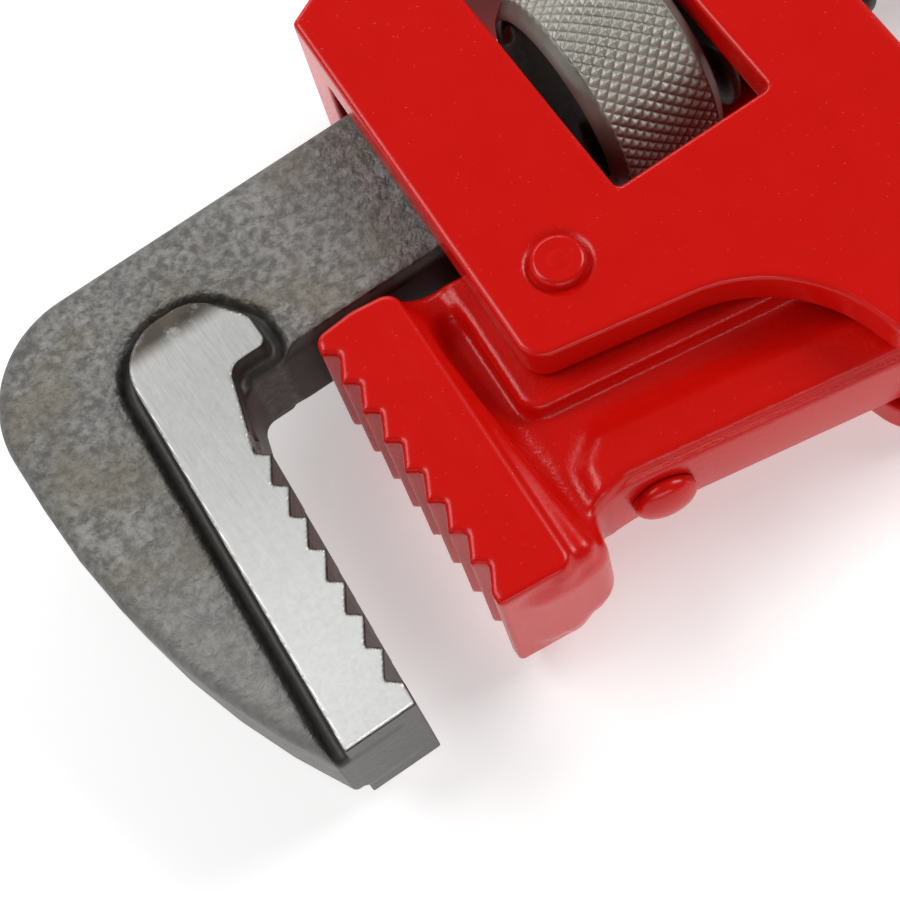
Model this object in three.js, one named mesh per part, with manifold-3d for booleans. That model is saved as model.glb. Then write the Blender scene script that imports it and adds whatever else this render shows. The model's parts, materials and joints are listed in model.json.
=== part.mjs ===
// Stillson-pattern pipe wrench, about 350 mm long, lying flat on its side.
// Millimetres, +Z up. +X runs from the jaws to the end of the handle, +Y from the handle to the hook shank.
// The head is drawn in the jaw frame: origin on the housing pivot, u along the hook shank towards the
// rear, v across it towards the housing back. The handle is drawn in the frame the shank is tilted from.

import * as THREE from 'three';
import { mergeVertices } from 'three/addons/utils/BufferGeometryUtils.js';
import Module from 'manifold-3d';

const wasm = await Module();
wasm.setup();

// ---------- driving sizes ----------

const SHANK_TILT = 10; // degrees between handle and hook shank
const RUNNING_CLEARANCE = 0.4; // between pieces that slide or turn on each other
const SEAT_GAP = 0.25; // between pieces that are fastened together
const ARC_STEP = 9; // degrees per straight piece of an arc
const ROUND_SIDES = 32;
const CUT_REACH = 100; // length of a tool that cuts right through

// Hook shank and its thread.
const SHANK_HEIGHT = 22.6; // across, from the lower edge to the upper one
const SHANK_THICKNESS = 14;
const SHANK_CENTRE_V = 23.3; // height of its centreline over the pivot
const THREAD_FLAT_RELIEF = 0.3; // of the threaded length's machined sides, below the forged ones
const THREAD_PITCH = 4;
const THREAD_DEPTH = 1.6;
const THREAD_START_U = 0.5;
const THREAD_LENGTH = 77.5;
const THREAD_CREST_SHARE = 0.2; // flat crest, as a share of the pitch
const THREAD_FLANK_SHARE = 0.6; // both flanks
const THREAD_OVERLAP = 2; // of the plain shank over the start of the thread
const THREAD_SIDES = 20;
const THREAD_STEPS_PER_TURN = 8;
const THREAD_CLEARANCE = 0.6; // between nut and shank thread, radially and on the flanks

// Hook jaw head.
const HOOK_BACK_U = -62.1;
const HOOK_END_V = -31.2;
const HOOK_BACK_RADIUS = 14.2;
const HOOK_SWEEP_RADIUS = 89; // of the long curve down the back of the hook
const HOOK_SWEEP_RISE = 20.8; // from the end face up to where the curve's tangents cross
const HOOK_SWEEP_RUN = 11.8; // how far the curve brings the end face forward
const HOOK_TOOTH_LEAN = 4; // degrees the tooth face leans open from square
const HOOK_TOOTH_TOP_U = -37.5;
const HOOK_FIRST_TOOTH_V = 1.8;
const HOOK_BLOCK_WIDTH = 8.6; // from the tooth tips back to the groove
const HOOK_BLOCK_BACK_SLOPE = 0.049; // lean of the block's back edge, as a slope
const HOOK_NOSE_REACH = 6.7; // nose at the top of the block, beyond the tooth face
const HOOK_NOSE_DROP = 9.4; // from the block's top to the underside of the nose
const HOOK_NOSE_HEIGHT = 4.9; // of the nose's straight front
const HOOK_LOBE_RADIUS = 6.5; // of the block's rear top corner
const HOOK_PLATE_INSET = 1; // of the thinner plate behind the block's tooth roots
const HOOK_BLOCK_THICKNESS = 18.8;
const HOOK_BLOCK_LOBE_V = 22.9; // top of the raised block
const HOOK_GROOVE_WIDTH = 1.9;
const HOOK_GROOVE_DEPTH = 0.9;
const THROAT_RADIUS = 4;

// Teeth, alike on both jaws but facing opposite ways.
const TOOTH_PITCH = 4.3;
const TOOTH_DEPTH = 1.6;
const TOOTH_STEEP_SHARE = 0.28; // share of the pitch taken by the steep flank
const TOOTH_COUNT = 8;

// Heel jaw, forged in one with the handle.
const HEEL_FACE_U = -26.9;
const HEEL_STEP_U = -16.9;
const HEEL_HEADROOM = 1.6; // under the hook shank
const HEEL_END_V = -28;
const HEEL_FIRST_TOOTH_DROP = 2.5; // from the heel's top to its first tooth
const HEEL_THICKNESS = 22;
const HEEL_FOOT_THICKNESS = 20; // of the lower step behind the heel
const HEEL_FOOT_REACH = 2.3; // of that step behind the heel's own
const NECK_REACH = 4.5; // from the heel's step to the neck, along both directions

// Handle.
const HANDLE_BOTTOM_Y = -24.5;
const HANDLE_TOP_Y = 4;
const HANDLE_END_X = 286.6;
const HANDLE_HEAD_X = 60; // full depth up to here
const GRIP_WAIST_X = 150;
const GRIP_END_LENGTH = 45;
const GRIP_WAIST_BOTTOM_Y = -22;
const GRIP_WAIST_TOP_Y = 0;
const GRIP_END_BOTTOM_Y = -25;
const GRIP_END_TOP_Y = 2;
const FLANGE_THICKNESS = 14;
const FLANGE_DEPTH = 6.5;
const FLANGE_FRONT_X = -7; // lower flange's front end
const WEB_THICKNESS = 10;
const PAD_PROUD = 0.6; // of the shank on each side, so that the pad guides the housing
const PAD_FRONT_U = -12.2;
const PAD_BOTTOM_Y = -11.5;
const PAD_REAR_X = 62;
const SHOULDER_DROP = 2.5; // from the shank down to the shoulder between the heel and the pad
const SHOULDER_DEPTH = 4.5; // of the thick strip along the shoulder
const HANG_HOLE_LENGTH = 20;
const HANG_HOLE_WIDTH = 11;
const HANG_HOLE_END_WALL = 11;
const HANG_EYE_WALL = 5.5;

// Housing.
const HOUSING_THICKNESS = 27;
const HOUSING_FRONT_U = -9.3;
const HOUSING_REAR_U = 46;
const BRIDGE_HEIGHT = 10.7; // solid metal over the shank's cavity
const HOUSING_LOBE_V = -33;
const HOUSING_FOOT_V = -8; // lower front corner
const HOUSING_FOOT_RADIUS = 3.2;
const HOUSING_FRONT_LEAN = 1.9; // the front edge's top is further back than its foot
const ARCH_U = 25.6; // front edge of the rear lobe, behind the arch
const ARCH_RADIUS = 18;
const ARCH_DROP = 5.9; // of the arch's spring point below the foot
const WINDOW_REAR_U = 31.1;
const WINDOW_ROOM_BELOW = 5.4; // under the nut
const WINDOW_ROOM_ABOVE = 5.5;
const WINDOW_CORNER = 0.8;
const BRIDGE_HEADROOM = 3.2; // over the shank, for the leaf spring

// Adjusting nut.
const NUT_WALL = 2.3; // outside the tapped thread's major diameter
const NUT_LENGTH = 15.8;
const NUT_REAR_PLAY = 1.5; // to the rear wall of the window
const NUT_FRONT_PLAY = 3.4; // to its front wall
const NUT_CHAMFER = 1.6;
const NUT_SIDES = 60;

// Rivets.
const PIVOT_RADIUS = 2.7;
const PIVOT_HEAD_LIP = 0.6; // of the head round the shaft
const PIVOT_HEAD_HEIGHT = 1.1;
const PIVOT_DISH_DEPTH = 0.6; // of the recess the head is closed into
const HANDLE_RIVET_RADIUS = 2;
const HANDLE_RIVET_HEAD_RADIUS = 3.8;
const HANDLE_RIVET_HEAD_HEIGHT = 2.2;
const HANDLE_RIVET_U = -3.9;
const HANDLE_RIVET_LEAN = 10; // degrees forward of the jaw frame's v direction
const HOUSING_RIVET_RADIUS = 1.6;
const HOUSING_RIVET_HEAD_RADIUS = 3;
const HOUSING_RIVET_HEAD_HEIGHT = 1.4;
const HOUSING_RIVET_U = 4.6;
const CLENCH_HEIGHT = 0.6; // rivet tail, closed over a leaf spring
const CLENCH_LIP = 0.85;

// Leaf springs.
const SPRING_THICKNESS = 1.1;
const HANDLE_SPRING_WIDTH = 9;
const HANDLE_SPRING_REACH = 17.5; // from the rivet to the free end
const HANDLE_SPRING_TAIL = 4.2; // from the rivet to the clamped end
const HANDLE_SPRING_GAP = 0.7; // under the shank, room to rock
const HANDLE_SPRING_CROWN = 1.2;
const HOUSING_SPRING_WIDTH = 8;
const HOUSING_SPRING_REAR = 3.8;
const HOUSING_SPRING_FRONT = 11.5;

// ---------- sizes that follow ----------

const SHANK_BOTTOM_V = SHANK_CENTRE_V - SHANK_HEIGHT / 2;
const SHANK_TOP_V = SHANK_CENTRE_V + SHANK_HEIGHT / 2;
const THREAD_FLATS = SHANK_THICKNESS - 2 * THREAD_FLAT_RELIEF;
const PAD_THICKNESS = SHANK_THICKNESS + 2 * PAD_PROUD;
const CAVITY_WIDTH = PAD_THICKNESS + 2 * RUNNING_CLEARANCE;
const ROOF_V = SHANK_TOP_V + BRIDGE_HEADROOM;
const HOUSING_TOP_V = ROOF_V + BRIDGE_HEIGHT;
const HEEL_TOP_V = SHANK_BOTTOM_V - HEEL_HEADROOM;
const HEEL_FIRST_TOOTH_V = HEEL_TOP_V - HEEL_FIRST_TOOTH_DROP;
const SHOULDER_V = SHANK_BOTTOM_V - SHOULDER_DROP;
const NUT_RADIUS = SHANK_HEIGHT / 2 + THREAD_CLEARANCE + NUT_WALL;
const WINDOW_BOTTOM_V = SHANK_CENTRE_V - NUT_RADIUS - WINDOW_ROOM_BELOW;
const WINDOW_TOP_V = SHANK_CENTRE_V + NUT_RADIUS + WINDOW_ROOM_ABOVE;
const PIVOT_HEAD_RADIUS = PIVOT_RADIUS + PIVOT_HEAD_LIP;
const WINDOW_FRONT_U = WINDOW_REAR_U - NUT_REAR_PLAY - NUT_LENGTH - NUT_FRONT_PLAY;
const NUT_FRONT_U = WINDOW_FRONT_U + NUT_FRONT_PLAY;
const HEAD_SEAT_Z = HOUSING_THICKNESS / 2 - PIVOT_DISH_DEPTH;
const HOOK_LEAN_SLOPE = Math.tan(radians(HOOK_TOOTH_LEAN));
const HOOK_END_FACE_U = HOOK_TOOTH_TOP_U + (HOOK_END_V - HOOK_FIRST_TOOTH_V) * HOOK_LEAN_SLOPE;
const HANDLE_SPRING_SEAT_V = SHANK_BOTTOM_V - HANDLE_SPRING_GAP - 2 * SPRING_THICKNESS
  - (HANDLE_SPRING_REACH - HANDLE_SPRING_TAIL) * Math.sin(radians(HANDLE_RIVET_LEAN));
const HANDLE_SPRING_SEAT_U = HANDLE_RIVET_U
  - (HANDLE_SPRING_SEAT_V - HANDLE_BOTTOM_Y) * Math.tan(radians(HANDLE_RIVET_LEAN));

function radians(degrees) {
  return (degrees * Math.PI) / 180;
}

/** A point of the handle frame, from its place in the jaw frame. */
function fromJaw(u, v) {
  const a = radians(SHANK_TILT);
  return [u * Math.cos(a) - v * Math.sin(a), u * Math.sin(a) + v * Math.cos(a)];
}

// ---------- solids ----------

/** The closed solid that a geometry bounds, after an optional placement. */
function solid(geometry, placement = new THREE.Matrix4()) {
  const bare = geometry.clone();
  bare.deleteAttribute('normal');
  bare.deleteAttribute('uv');
  const merged = mergeVertices(bare.applyMatrix4(placement), 1e-5);
  return new wasm.Manifold(new wasm.Mesh({
    numProp: 3,
    vertProperties: new Float32Array(merged.attributes.position.array),
    triVerts: new Uint32Array(merged.index.array),
  }));
}

/** Placement: turned by the three angles in degrees, about X first, then moved. */
function placed(move, turn = [0, 0, 0]) {
  const angles = new THREE.Euler(radians(turn[0]), radians(turn[1]), radians(turn[2]), 'ZYX');
  return new THREE.Matrix4().makeRotationFromEuler(angles).setPosition(...move);
}

/** Shape from corners [x, y, radius], going anticlockwise; a corner with a radius becomes an arc. */
function outline(corners) {
  const points = [];
  corners.forEach(([x, y, radius = 0], i) => {
    const corner = new THREE.Vector2(x, y);
    if (radius === 0) {
      points.push(corner);
      return;
    }
    const before = corners[(i + corners.length - 1) % corners.length];
    const after = corners[(i + 1) % corners.length];
    const back = new THREE.Vector2(before[0], before[1]).sub(corner).normalize();
    const on = new THREE.Vector2(after[0], after[1]).sub(corner).normalize();
    const half = Math.acos(THREE.MathUtils.clamp(back.dot(on), -1, 1)) / 2;
    const inward = back.clone().add(on).normalize();
    const centre = corner.clone().addScaledVector(inward, radius / Math.sin(half));
    const start = corner.clone().addScaledVector(back, radius / Math.tan(half)).sub(centre);
    const end = corner.clone().addScaledVector(on, radius / Math.tan(half)).sub(centre);
    const turn = Math.atan2(start.cross(end), start.dot(end));
    const steps = Math.max(2, Math.ceil(Math.abs(turn) / radians(ARC_STEP)));
    for (let k = 0; k <= steps; k += 1) {
      points.push(start.clone().rotateAround(new THREE.Vector2(), (turn * k) / steps).add(centre));
    }
  });
  return new THREE.Shape(points);
}

/** Plate of the given thickness, centred on the given height. */
function plate(shape, thickness, middle = 0, placement = new THREE.Matrix4()) {
  const geometry = new THREE.ExtrudeGeometry(shape, { depth: thickness, bevelEnabled: false });
  return solid(geometry.translate(0, 0, middle - thickness / 2), placement);
}

/** Round bar along Z, centred on the given height. */
function bar(radius, length, middle = 0, placement = new THREE.Matrix4()) {
  const geometry = new THREE.CylinderGeometry(radius, radius, length, ROUND_SIDES);
  return solid(geometry.rotateX(Math.PI / 2).translate(0, 0, middle), placement);
}

/** Solid of revolution about Z, from [radius, z] points that start and end on the axis. */
function turned(profile, sides, placement) {
  const points = profile.map(([radius, z]) => new THREE.Vector2(radius, z));
  return solid(new THREE.LatheGeometry(points, sides).rotateX(Math.PI / 2), placement);
}

/** Domed rivet head along +Z from the given height, with a short straight edge. */
function domedHead(radius, height, base, placement) {
  const steps = 5;
  const profile = [[0, base], [radius, base]];
  for (let i = 0; i < steps; i += 1) {
    const a = (Math.PI / 2) * (i / steps);
    profile.push([radius * Math.cos(a), base + height * (0.25 + 0.75 * Math.sin(a))]);
  }
  profile.push([0, base + height]);
  return turned(profile, ROUND_SIDES, placement);
}

/** Points down a row of teeth from its top tip. Metal lies towards `into` (1 or -1) from the tips. */
function toothRow(faceU, firstTipV, into, slope, steepAfterTip) {
  const steep = TOOTH_PITCH * TOOTH_STEEP_SHARE;
  const rootDrop = steepAfterTip ? steep : TOOTH_PITCH - steep;
  const points = [];
  for (let i = 0; i < TOOTH_COUNT; i += 1) {
    const tip = -i * TOOTH_PITCH;
    const root = tip - rootDrop;
    points.push([faceU + tip * slope, firstTipV + tip]);
    if (i < TOOTH_COUNT - 1 || steepAfterTip) {
      points.push([faceU + root * slope + into * TOOTH_DEPTH, firstTipV + root]);
    }
  }
  return points;
}

/** Radius of the thread at a share of a pitch; `grow` widens it for the tapped nut. */
function threadRadius(share, grow) {
  const minor = SHANK_HEIGHT / 2 - THREAD_DEPTH;
  const fromCrest = Math.abs(THREE.MathUtils.euclideanModulo(share, 1) - 0.5) * 2;
  const crest = THREAD_CREST_SHARE + THREAD_FLANK_SHARE + (2 * grow) / THREAD_PITCH;
  const rise = THREE.MathUtils.clamp((crest - fromCrest) / THREAD_FLANK_SHARE, 0, 1);
  return minor + grow + THREAD_DEPTH * rise;
}

/** Right-hand screw along the shank, from u = start. */
function screw(startU, length, grow) {
  const layers = Math.round((length / THREAD_PITCH) * THREAD_STEPS_PER_TURN);
  const positions = [];
  const index = [];
  for (let j = 0; j <= layers; j += 1) {
    const u = startU + (length * j) / layers;
    const lead = (u - THREAD_START_U) / THREAD_PITCH;
    for (let i = 0; i < THREAD_SIDES; i += 1) {
      const turn = i / THREAD_SIDES;
      const radius = threadRadius(turn - lead, grow);
      const a = 2 * Math.PI * turn;
      positions.push(u, SHANK_CENTRE_V + radius * Math.cos(a), radius * Math.sin(a));
    }
  }
  const at = (j, i) => j * THREAD_SIDES + (i % THREAD_SIDES);
  for (let j = 0; j < layers; j += 1) {
    for (let i = 0; i < THREAD_SIDES; i += 1) {
      index.push(at(j, i), at(j, i + 1), at(j + 1, i + 1));
      index.push(at(j, i), at(j + 1, i + 1), at(j + 1, i));
    }
  }
  [[0, startU], [layers, startU + length]].forEach(([j, u]) => {
    const centre = positions.length / 3;
    positions.push(u, SHANK_CENTRE_V, 0);
    for (let i = 0; i < THREAD_SIDES; i += 1) {
      const rim = j === 0 ? [at(j, i + 1), at(j, i)] : [at(j, i), at(j, i + 1)];
      index.push(centre, ...rim);
    }
  });
  const geometry = new THREE.BufferGeometry();
  geometry.setAttribute('position', new THREE.Float32BufferAttribute(positions, 3));
  geometry.setIndex(index);
  return solid(geometry);
}

// ---------- hook jaw and nut, in the jaw frame ----------

/** Flat of the hook and its plain shank, up to the start of the thread. */
function hookPlate() {
  const shankEndU = THREAD_START_U + THREAD_OVERLAP;
  const behindTeeth = TOOTH_DEPTH + HOOK_PLATE_INSET;
  return outline([
    [HOOK_TOOTH_TOP_U + 0.4, SHANK_BOTTOM_V, THROAT_RADIUS],
    [shankEndU, SHANK_BOTTOM_V],
    [shankEndU, SHANK_TOP_V],
    [HOOK_BACK_U, SHANK_TOP_V, HOOK_BACK_RADIUS],
    [HOOK_BACK_U, HOOK_END_V + HOOK_SWEEP_RISE, HOOK_SWEEP_RADIUS],
    [HOOK_BACK_U + HOOK_SWEEP_RUN, HOOK_END_V],
    [HOOK_END_FACE_U - behindTeeth, HOOK_END_V],
    [HOOK_TOOTH_TOP_U - behindTeeth, HOOK_FIRST_TOOTH_V + 1],
    [HOOK_TOOTH_TOP_U - 0.3, HOOK_FIRST_TOOTH_V + 3.3],
  ]);
}

/** Raised tooth block; `grow` moves its back, top and nose outwards for the groove round it. */
function hookBlock(grow) {
  const backAt = (v) => (
    HOOK_TOOTH_TOP_U - HOOK_BLOCK_WIDTH + (v - HOOK_FIRST_TOOTH_V) * HOOK_BLOCK_BACK_SLOPE - grow
  );
  const topV = HOOK_BLOCK_LOBE_V + grow;
  const noseU = HOOK_TOOTH_TOP_U + HOOK_NOSE_REACH + grow;
  const chinV = HOOK_BLOCK_LOBE_V - HOOK_NOSE_DROP - grow;
  return outline([
    [backAt(HOOK_END_V - grow), HOOK_END_V - grow],
    [HOOK_END_FACE_U, HOOK_END_V - grow],
    ...toothRow(HOOK_TOOTH_TOP_U, HOOK_FIRST_TOOTH_V, -1, HOOK_LEAN_SLOPE, false).reverse(),
    [HOOK_TOOTH_TOP_U - 1.5, HOOK_FIRST_TOOTH_V + 1.2],
    [HOOK_TOOTH_TOP_U + 1.6, chinV, 2],
    [noseU, chinV, 1.2 + grow],
    [noseU, chinV + HOOK_NOSE_HEIGHT + 2 * grow, 2.5 + grow],
    [noseU - HOOK_NOSE_REACH / 2 - grow, topV, 3.5 + grow],
    [backAt(topV), topV, HOOK_LOBE_RADIUS + grow],
  ]);
}

function buildHookJaw() {
  const grooveCut = HOOK_GROOVE_DEPTH + 1;
  const grooveMiddle = SHANK_THICKNESS / 2 - HOOK_GROOVE_DEPTH + grooveCut / 2;
  const groove = hookBlock(HOOK_GROOVE_WIDTH);
  const flats = new THREE.BoxGeometry(THREAD_LENGTH + 2, 2 * SHANK_HEIGHT, THREAD_FLATS);
  const flatsMiddle = placed([THREAD_START_U + THREAD_LENGTH / 2, SHANK_CENTRE_V, 0]);
  const thread = screw(THREAD_START_U, THREAD_LENGTH, 0).intersect(solid(flats, flatsMiddle));
  return plate(hookPlate(), SHANK_THICKNESS)
    .subtract(plate(groove, grooveCut, grooveMiddle))
    .subtract(plate(groove, grooveCut, -grooveMiddle))
    .add(plate(hookBlock(0), HOOK_BLOCK_THICKNESS))
    .add(thread);
}

function buildNut() {
  const c = NUT_CHAMFER;
  const blank = turned([
    [0, 0],
    [NUT_RADIUS - c, 0],
    [NUT_RADIUS, c],
    [NUT_RADIUS, NUT_LENGTH - c],
    [NUT_RADIUS - c, NUT_LENGTH],
    [0, NUT_LENGTH],
  ], NUT_SIDES, placed([NUT_FRONT_U, SHANK_CENTRE_V, 0], [0, 90, 0]));
  const overrun = THREAD_PITCH;
  return blank.subtract(screw(NUT_FRONT_U - overrun, NUT_LENGTH + 2 * overrun, THREAD_CLEARANCE));
}

// ---------- housing, in the jaw frame ----------

function housingShape() {
  return outline([
    [HOUSING_FRONT_U, HOUSING_FOOT_V, HOUSING_FOOT_RADIUS],
    [ARCH_U - 5, HOUSING_FOOT_V - ARCH_DROP, ARCH_RADIUS],
    [ARCH_U, HOUSING_LOBE_V, 7.5],
    [HOUSING_REAR_U - 1.5, HOUSING_LOBE_V, 9],
    [HOUSING_REAR_U, HOUSING_FOOT_V, 20],
    [HOUSING_REAR_U, HOUSING_TOP_V - 6],
    [HOUSING_REAR_U - 8, HOUSING_TOP_V, 6],
    [HOUSING_FRONT_U + HOUSING_FRONT_LEAN + 8.2, HOUSING_TOP_V, 6],
    [HOUSING_FRONT_U + HOUSING_FRONT_LEAN, HOUSING_TOP_V - 4],
  ]);
}

function windowShape() {
  return outline([
    [WINDOW_FRONT_U, WINDOW_BOTTOM_V, WINDOW_CORNER],
    [WINDOW_REAR_U, WINDOW_BOTTOM_V, WINDOW_CORNER],
    [WINDOW_REAR_U, WINDOW_TOP_V, WINDOW_CORNER],
    [WINDOW_FRONT_U, WINDOW_TOP_V, WINDOW_CORNER],
  ]);
}

function buildHousing() {
  const cavityHeight = ROOF_V - HOUSING_LOBE_V + CUT_REACH;
  const cavity = new THREE.BoxGeometry(2 * CUT_REACH, cavityHeight, CAVITY_WIDTH);
  const dishRadius = PIVOT_HEAD_RADIUS + SEAT_GAP;
  const dishMiddle = HEAD_SEAT_Z + CUT_REACH / 2;
  const upwards = placed([HOUSING_RIVET_U, SHANK_CENTRE_V, 0], [-90, 0, 0]);
  return plate(housingShape(), HOUSING_THICKNESS)
    .subtract(solid(cavity, placed([0, ROOF_V - cavityHeight / 2, 0])))
    .subtract(plate(windowShape(), CUT_REACH))
    .subtract(bar(PIVOT_RADIUS + SEAT_GAP, CUT_REACH))
    .subtract(bar(dishRadius, CUT_REACH, dishMiddle))
    .subtract(bar(dishRadius, CUT_REACH, -dishMiddle))
    .subtract(bar(HOUSING_RIVET_RADIUS + SEAT_GAP, CUT_REACH, CUT_REACH / 2, upwards));
}

function buildPivotRivet() {
  const headBase = HEAD_SEAT_Z + SEAT_GAP;
  const other = placed([0, 0, 0], [180, 0, 0]);
  return bar(PIVOT_RADIUS, 2 * headBase + PIVOT_HEAD_HEIGHT / 4)
    .add(domedHead(PIVOT_HEAD_RADIUS, PIVOT_HEAD_HEIGHT, headBase))
    .add(domedHead(PIVOT_HEAD_RADIUS, PIVOT_HEAD_HEIGHT, headBase, other));
}

function buildHousingSpringRivet() {
  const top = HOUSING_TOP_V + SEAT_GAP;
  const bottom = ROOF_V - SPRING_THICKNESS - 2 * SEAT_GAP - CLENCH_HEIGHT;
  const length = top - bottom;
  const upwards = placed([HOUSING_RIVET_U, bottom, 0], [-90, 0, 0]);
  return bar(HOUSING_RIVET_RADIUS, length + HOUSING_RIVET_HEAD_HEIGHT / 4, length / 2, upwards)
    .add(bar(HOUSING_RIVET_RADIUS + CLENCH_LIP, CLENCH_HEIGHT, CLENCH_HEIGHT / 2, upwards))
    .add(domedHead(HOUSING_RIVET_HEAD_RADIUS, HOUSING_RIVET_HEAD_HEIGHT, length, upwards));
}

// ---------- leaf springs, in the jaw frame ----------

/** Bent strip over the points of its lower face, with a rivet hole at the points' origin. */
function leafSpring(points, width, rivetRadius, placement) {
  const lower = points.map(([x, y]) => new THREE.Vector2(x, y));
  const upper = points.map(([x, y]) => new THREE.Vector2(x, y + SPRING_THICKNESS)).reverse();
  const hole = placement.clone().multiply(placed([0, 0, 0], [90, 0, 0]));
  return plate(new THREE.Shape([...lower, ...upper]), width, 0, placement)
    .subtract(bar(rivetRadius + SEAT_GAP, 4 * SPRING_THICKNESS + 2, 0, hole));
}

function buildHousingSpring() {
  const bottom = ROOF_V - SEAT_GAP - SPRING_THICKNESS;
  const sag = bottom - SHANK_TOP_V - RUNNING_CLEARANCE;
  const steps = 8;
  const points = [];
  for (let i = 0; i <= steps; i += 1) {
    const x = THREE.MathUtils.lerp(-HOUSING_SPRING_FRONT, HOUSING_SPRING_REAR, i / steps);
    const away = Math.max(-x / HOUSING_SPRING_FRONT, 0);
    points.push([x, -sag * away * away]);
  }
  return leafSpring(points, HOUSING_SPRING_WIDTH, HOUSING_RIVET_RADIUS, placed([HOUSING_RIVET_U, bottom, 0]));
}

/** Placement on the handle spring's seat: x along the seat, y square to it. */
function onSpringSeat() {
  return placed([HANDLE_SPRING_SEAT_U, HANDLE_SPRING_SEAT_V, 0], [0, 0, HANDLE_RIVET_LEAN]);
}

function buildHandleSpring() {
  const steps = 10;
  const points = [];
  for (let i = 0; i <= steps; i += 1) {
    const x = THREE.MathUtils.lerp(-HANDLE_SPRING_TAIL, HANDLE_SPRING_REACH, i / steps);
    const away = Math.max(x / HANDLE_SPRING_REACH, 0);
    points.push([x, SEAT_GAP + HANDLE_SPRING_CROWN * Math.sin(radians(150) * away) * away]);
  }
  return leafSpring(points, HANDLE_SPRING_WIDTH, HANDLE_RIVET_RADIUS, onSpringSeat());
}

// ---------- handle with the heel jaw, in the handle frame ----------

const JAW_TO_HANDLE = placed([0, 0, 0], [0, 0, SHANK_TILT]);

/** The shaft leans past the pivot bore; the head is closed flat against the lower flange. */
function buildHandleSpringRivet() {
  const headY = HANDLE_BOTTOM_Y - SEAT_GAP;
  const headV = (headY - HANDLE_RIVET_U * Math.sin(radians(SHANK_TILT))) / Math.cos(radians(SHANK_TILT));
  const headX = fromJaw(HANDLE_RIVET_U, headV)[0];
  const tail = 2 * SEAT_GAP + SPRING_THICKNESS;
  const length = 2 * (HANDLE_TOP_Y - HANDLE_BOTTOM_Y);
  const down = JAW_TO_HANDLE.clone().multiply(onSpringSeat()).multiply(placed([0, tail, 0], [90, 0, 0]));
  const below = new THREE.BoxGeometry(CUT_REACH, CUT_REACH, CUT_REACH);
  const sink = 0.3;
  const facingDown = placed([headX, headY, 0], [90, 0, 0]);
  return bar(HANDLE_RIVET_RADIUS, length, length / 2, down)
    .add(bar(HANDLE_RIVET_RADIUS + CLENCH_LIP, CLENCH_HEIGHT, -CLENCH_HEIGHT / 2, down))
    .subtract(solid(below, placed([0, headY - sink - CUT_REACH / 2, 0])))
    .add(domedHead(HANDLE_RIVET_HEAD_RADIUS, HANDLE_RIVET_HEAD_HEIGHT, 0, facingDown));
}

/** Side view of the handle, the solid part of the heel jaw included. */
function handleShape() {
  const neck = fromJaw(HEEL_STEP_U + NECK_REACH, HEEL_END_V + NECK_REACH);
  const heelInside = (HEEL_FACE_U + HEEL_STEP_U) / 2;
  return outline([
    fromJaw(heelInside, HEEL_END_V),
    [...fromJaw(HEEL_STEP_U + 2.9, HEEL_END_V), 1.6],
    [...neck, 2.4],
    [neck[0] + 5, HANDLE_BOTTOM_Y, 4],
    [HANDLE_HEAD_X, HANDLE_BOTTOM_Y, 200],
    [GRIP_WAIST_X, GRIP_WAIST_BOTTOM_Y, 400],
    [HANDLE_END_X - GRIP_END_LENGTH, GRIP_END_BOTTOM_Y, 80],
    [HANDLE_END_X, GRIP_END_BOTTOM_Y + 2, 11.5],
    [HANDLE_END_X, GRIP_END_TOP_Y - 2, 11.5],
    [HANDLE_END_X - GRIP_END_LENGTH, GRIP_END_TOP_Y, 80],
    [GRIP_WAIST_X, GRIP_WAIST_TOP_Y, 400],
    [HANDLE_HEAD_X, HANDLE_TOP_Y, 200],
    [...fromJaw(7.5, 1.4), 6],
    [...fromJaw(HANDLE_RIVET_U, SHOULDER_V - 1.7), 1.5],
    fromJaw(PAD_FRONT_U, SHOULDER_V - 0.7),
    fromJaw(heelInside, SHOULDER_V),
  ]);
}

/** Hollow of the I-section: between the flanges, and on to the heel in front of the lower one. */
function pocketShape() {
  const underPadX = fromJaw(PAD_FRONT_U + 4, 0)[0];
  const inHeelU = HEEL_STEP_U - 4;
  const stripV = SHOULDER_V - SHOULDER_DEPTH;
  const rearX = HANDLE_END_X - HANG_HOLE_END_WALL - HANG_HOLE_LENGTH - HANG_EYE_WALL;
  const d = FLANGE_DEPTH;
  return outline([
    fromJaw(inHeelU, HEEL_END_V - d),
    [FLANGE_FRONT_X, HANDLE_BOTTOM_Y - d],
    [FLANGE_FRONT_X, HANDLE_BOTTOM_Y + 2],
    [FLANGE_FRONT_X + 3, HANDLE_BOTTOM_Y + d, 2],
    [HANDLE_HEAD_X, HANDLE_BOTTOM_Y + d, 200],
    [GRIP_WAIST_X, GRIP_WAIST_BOTTOM_Y + d, 400],
    [rearX, GRIP_END_BOTTOM_Y + d + 1, 3],
    [rearX, GRIP_END_TOP_Y - d - 1, 3],
    [GRIP_WAIST_X, GRIP_WAIST_TOP_Y - d, 400],
    [HANDLE_HEAD_X, HANDLE_TOP_Y - d, 200],
    [underPadX, HANDLE_TOP_Y - d],
    fromJaw(PAD_FRONT_U + 4, stripV),
    fromJaw(inHeelU, stripV),
  ]);
}

/** Raised pad that backs the housing. */
function padShape() {
  return outline([
    [...fromJaw(PAD_FRONT_U, -11.1), 3.2],
    [PAD_REAR_X, PAD_BOTTOM_Y, 3],
    [PAD_REAR_X, CUT_REACH],
    [fromJaw(PAD_FRONT_U, SHOULDER_V)[0], CUT_REACH],
    fromJaw(PAD_FRONT_U, SHOULDER_V),
  ]);
}

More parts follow.
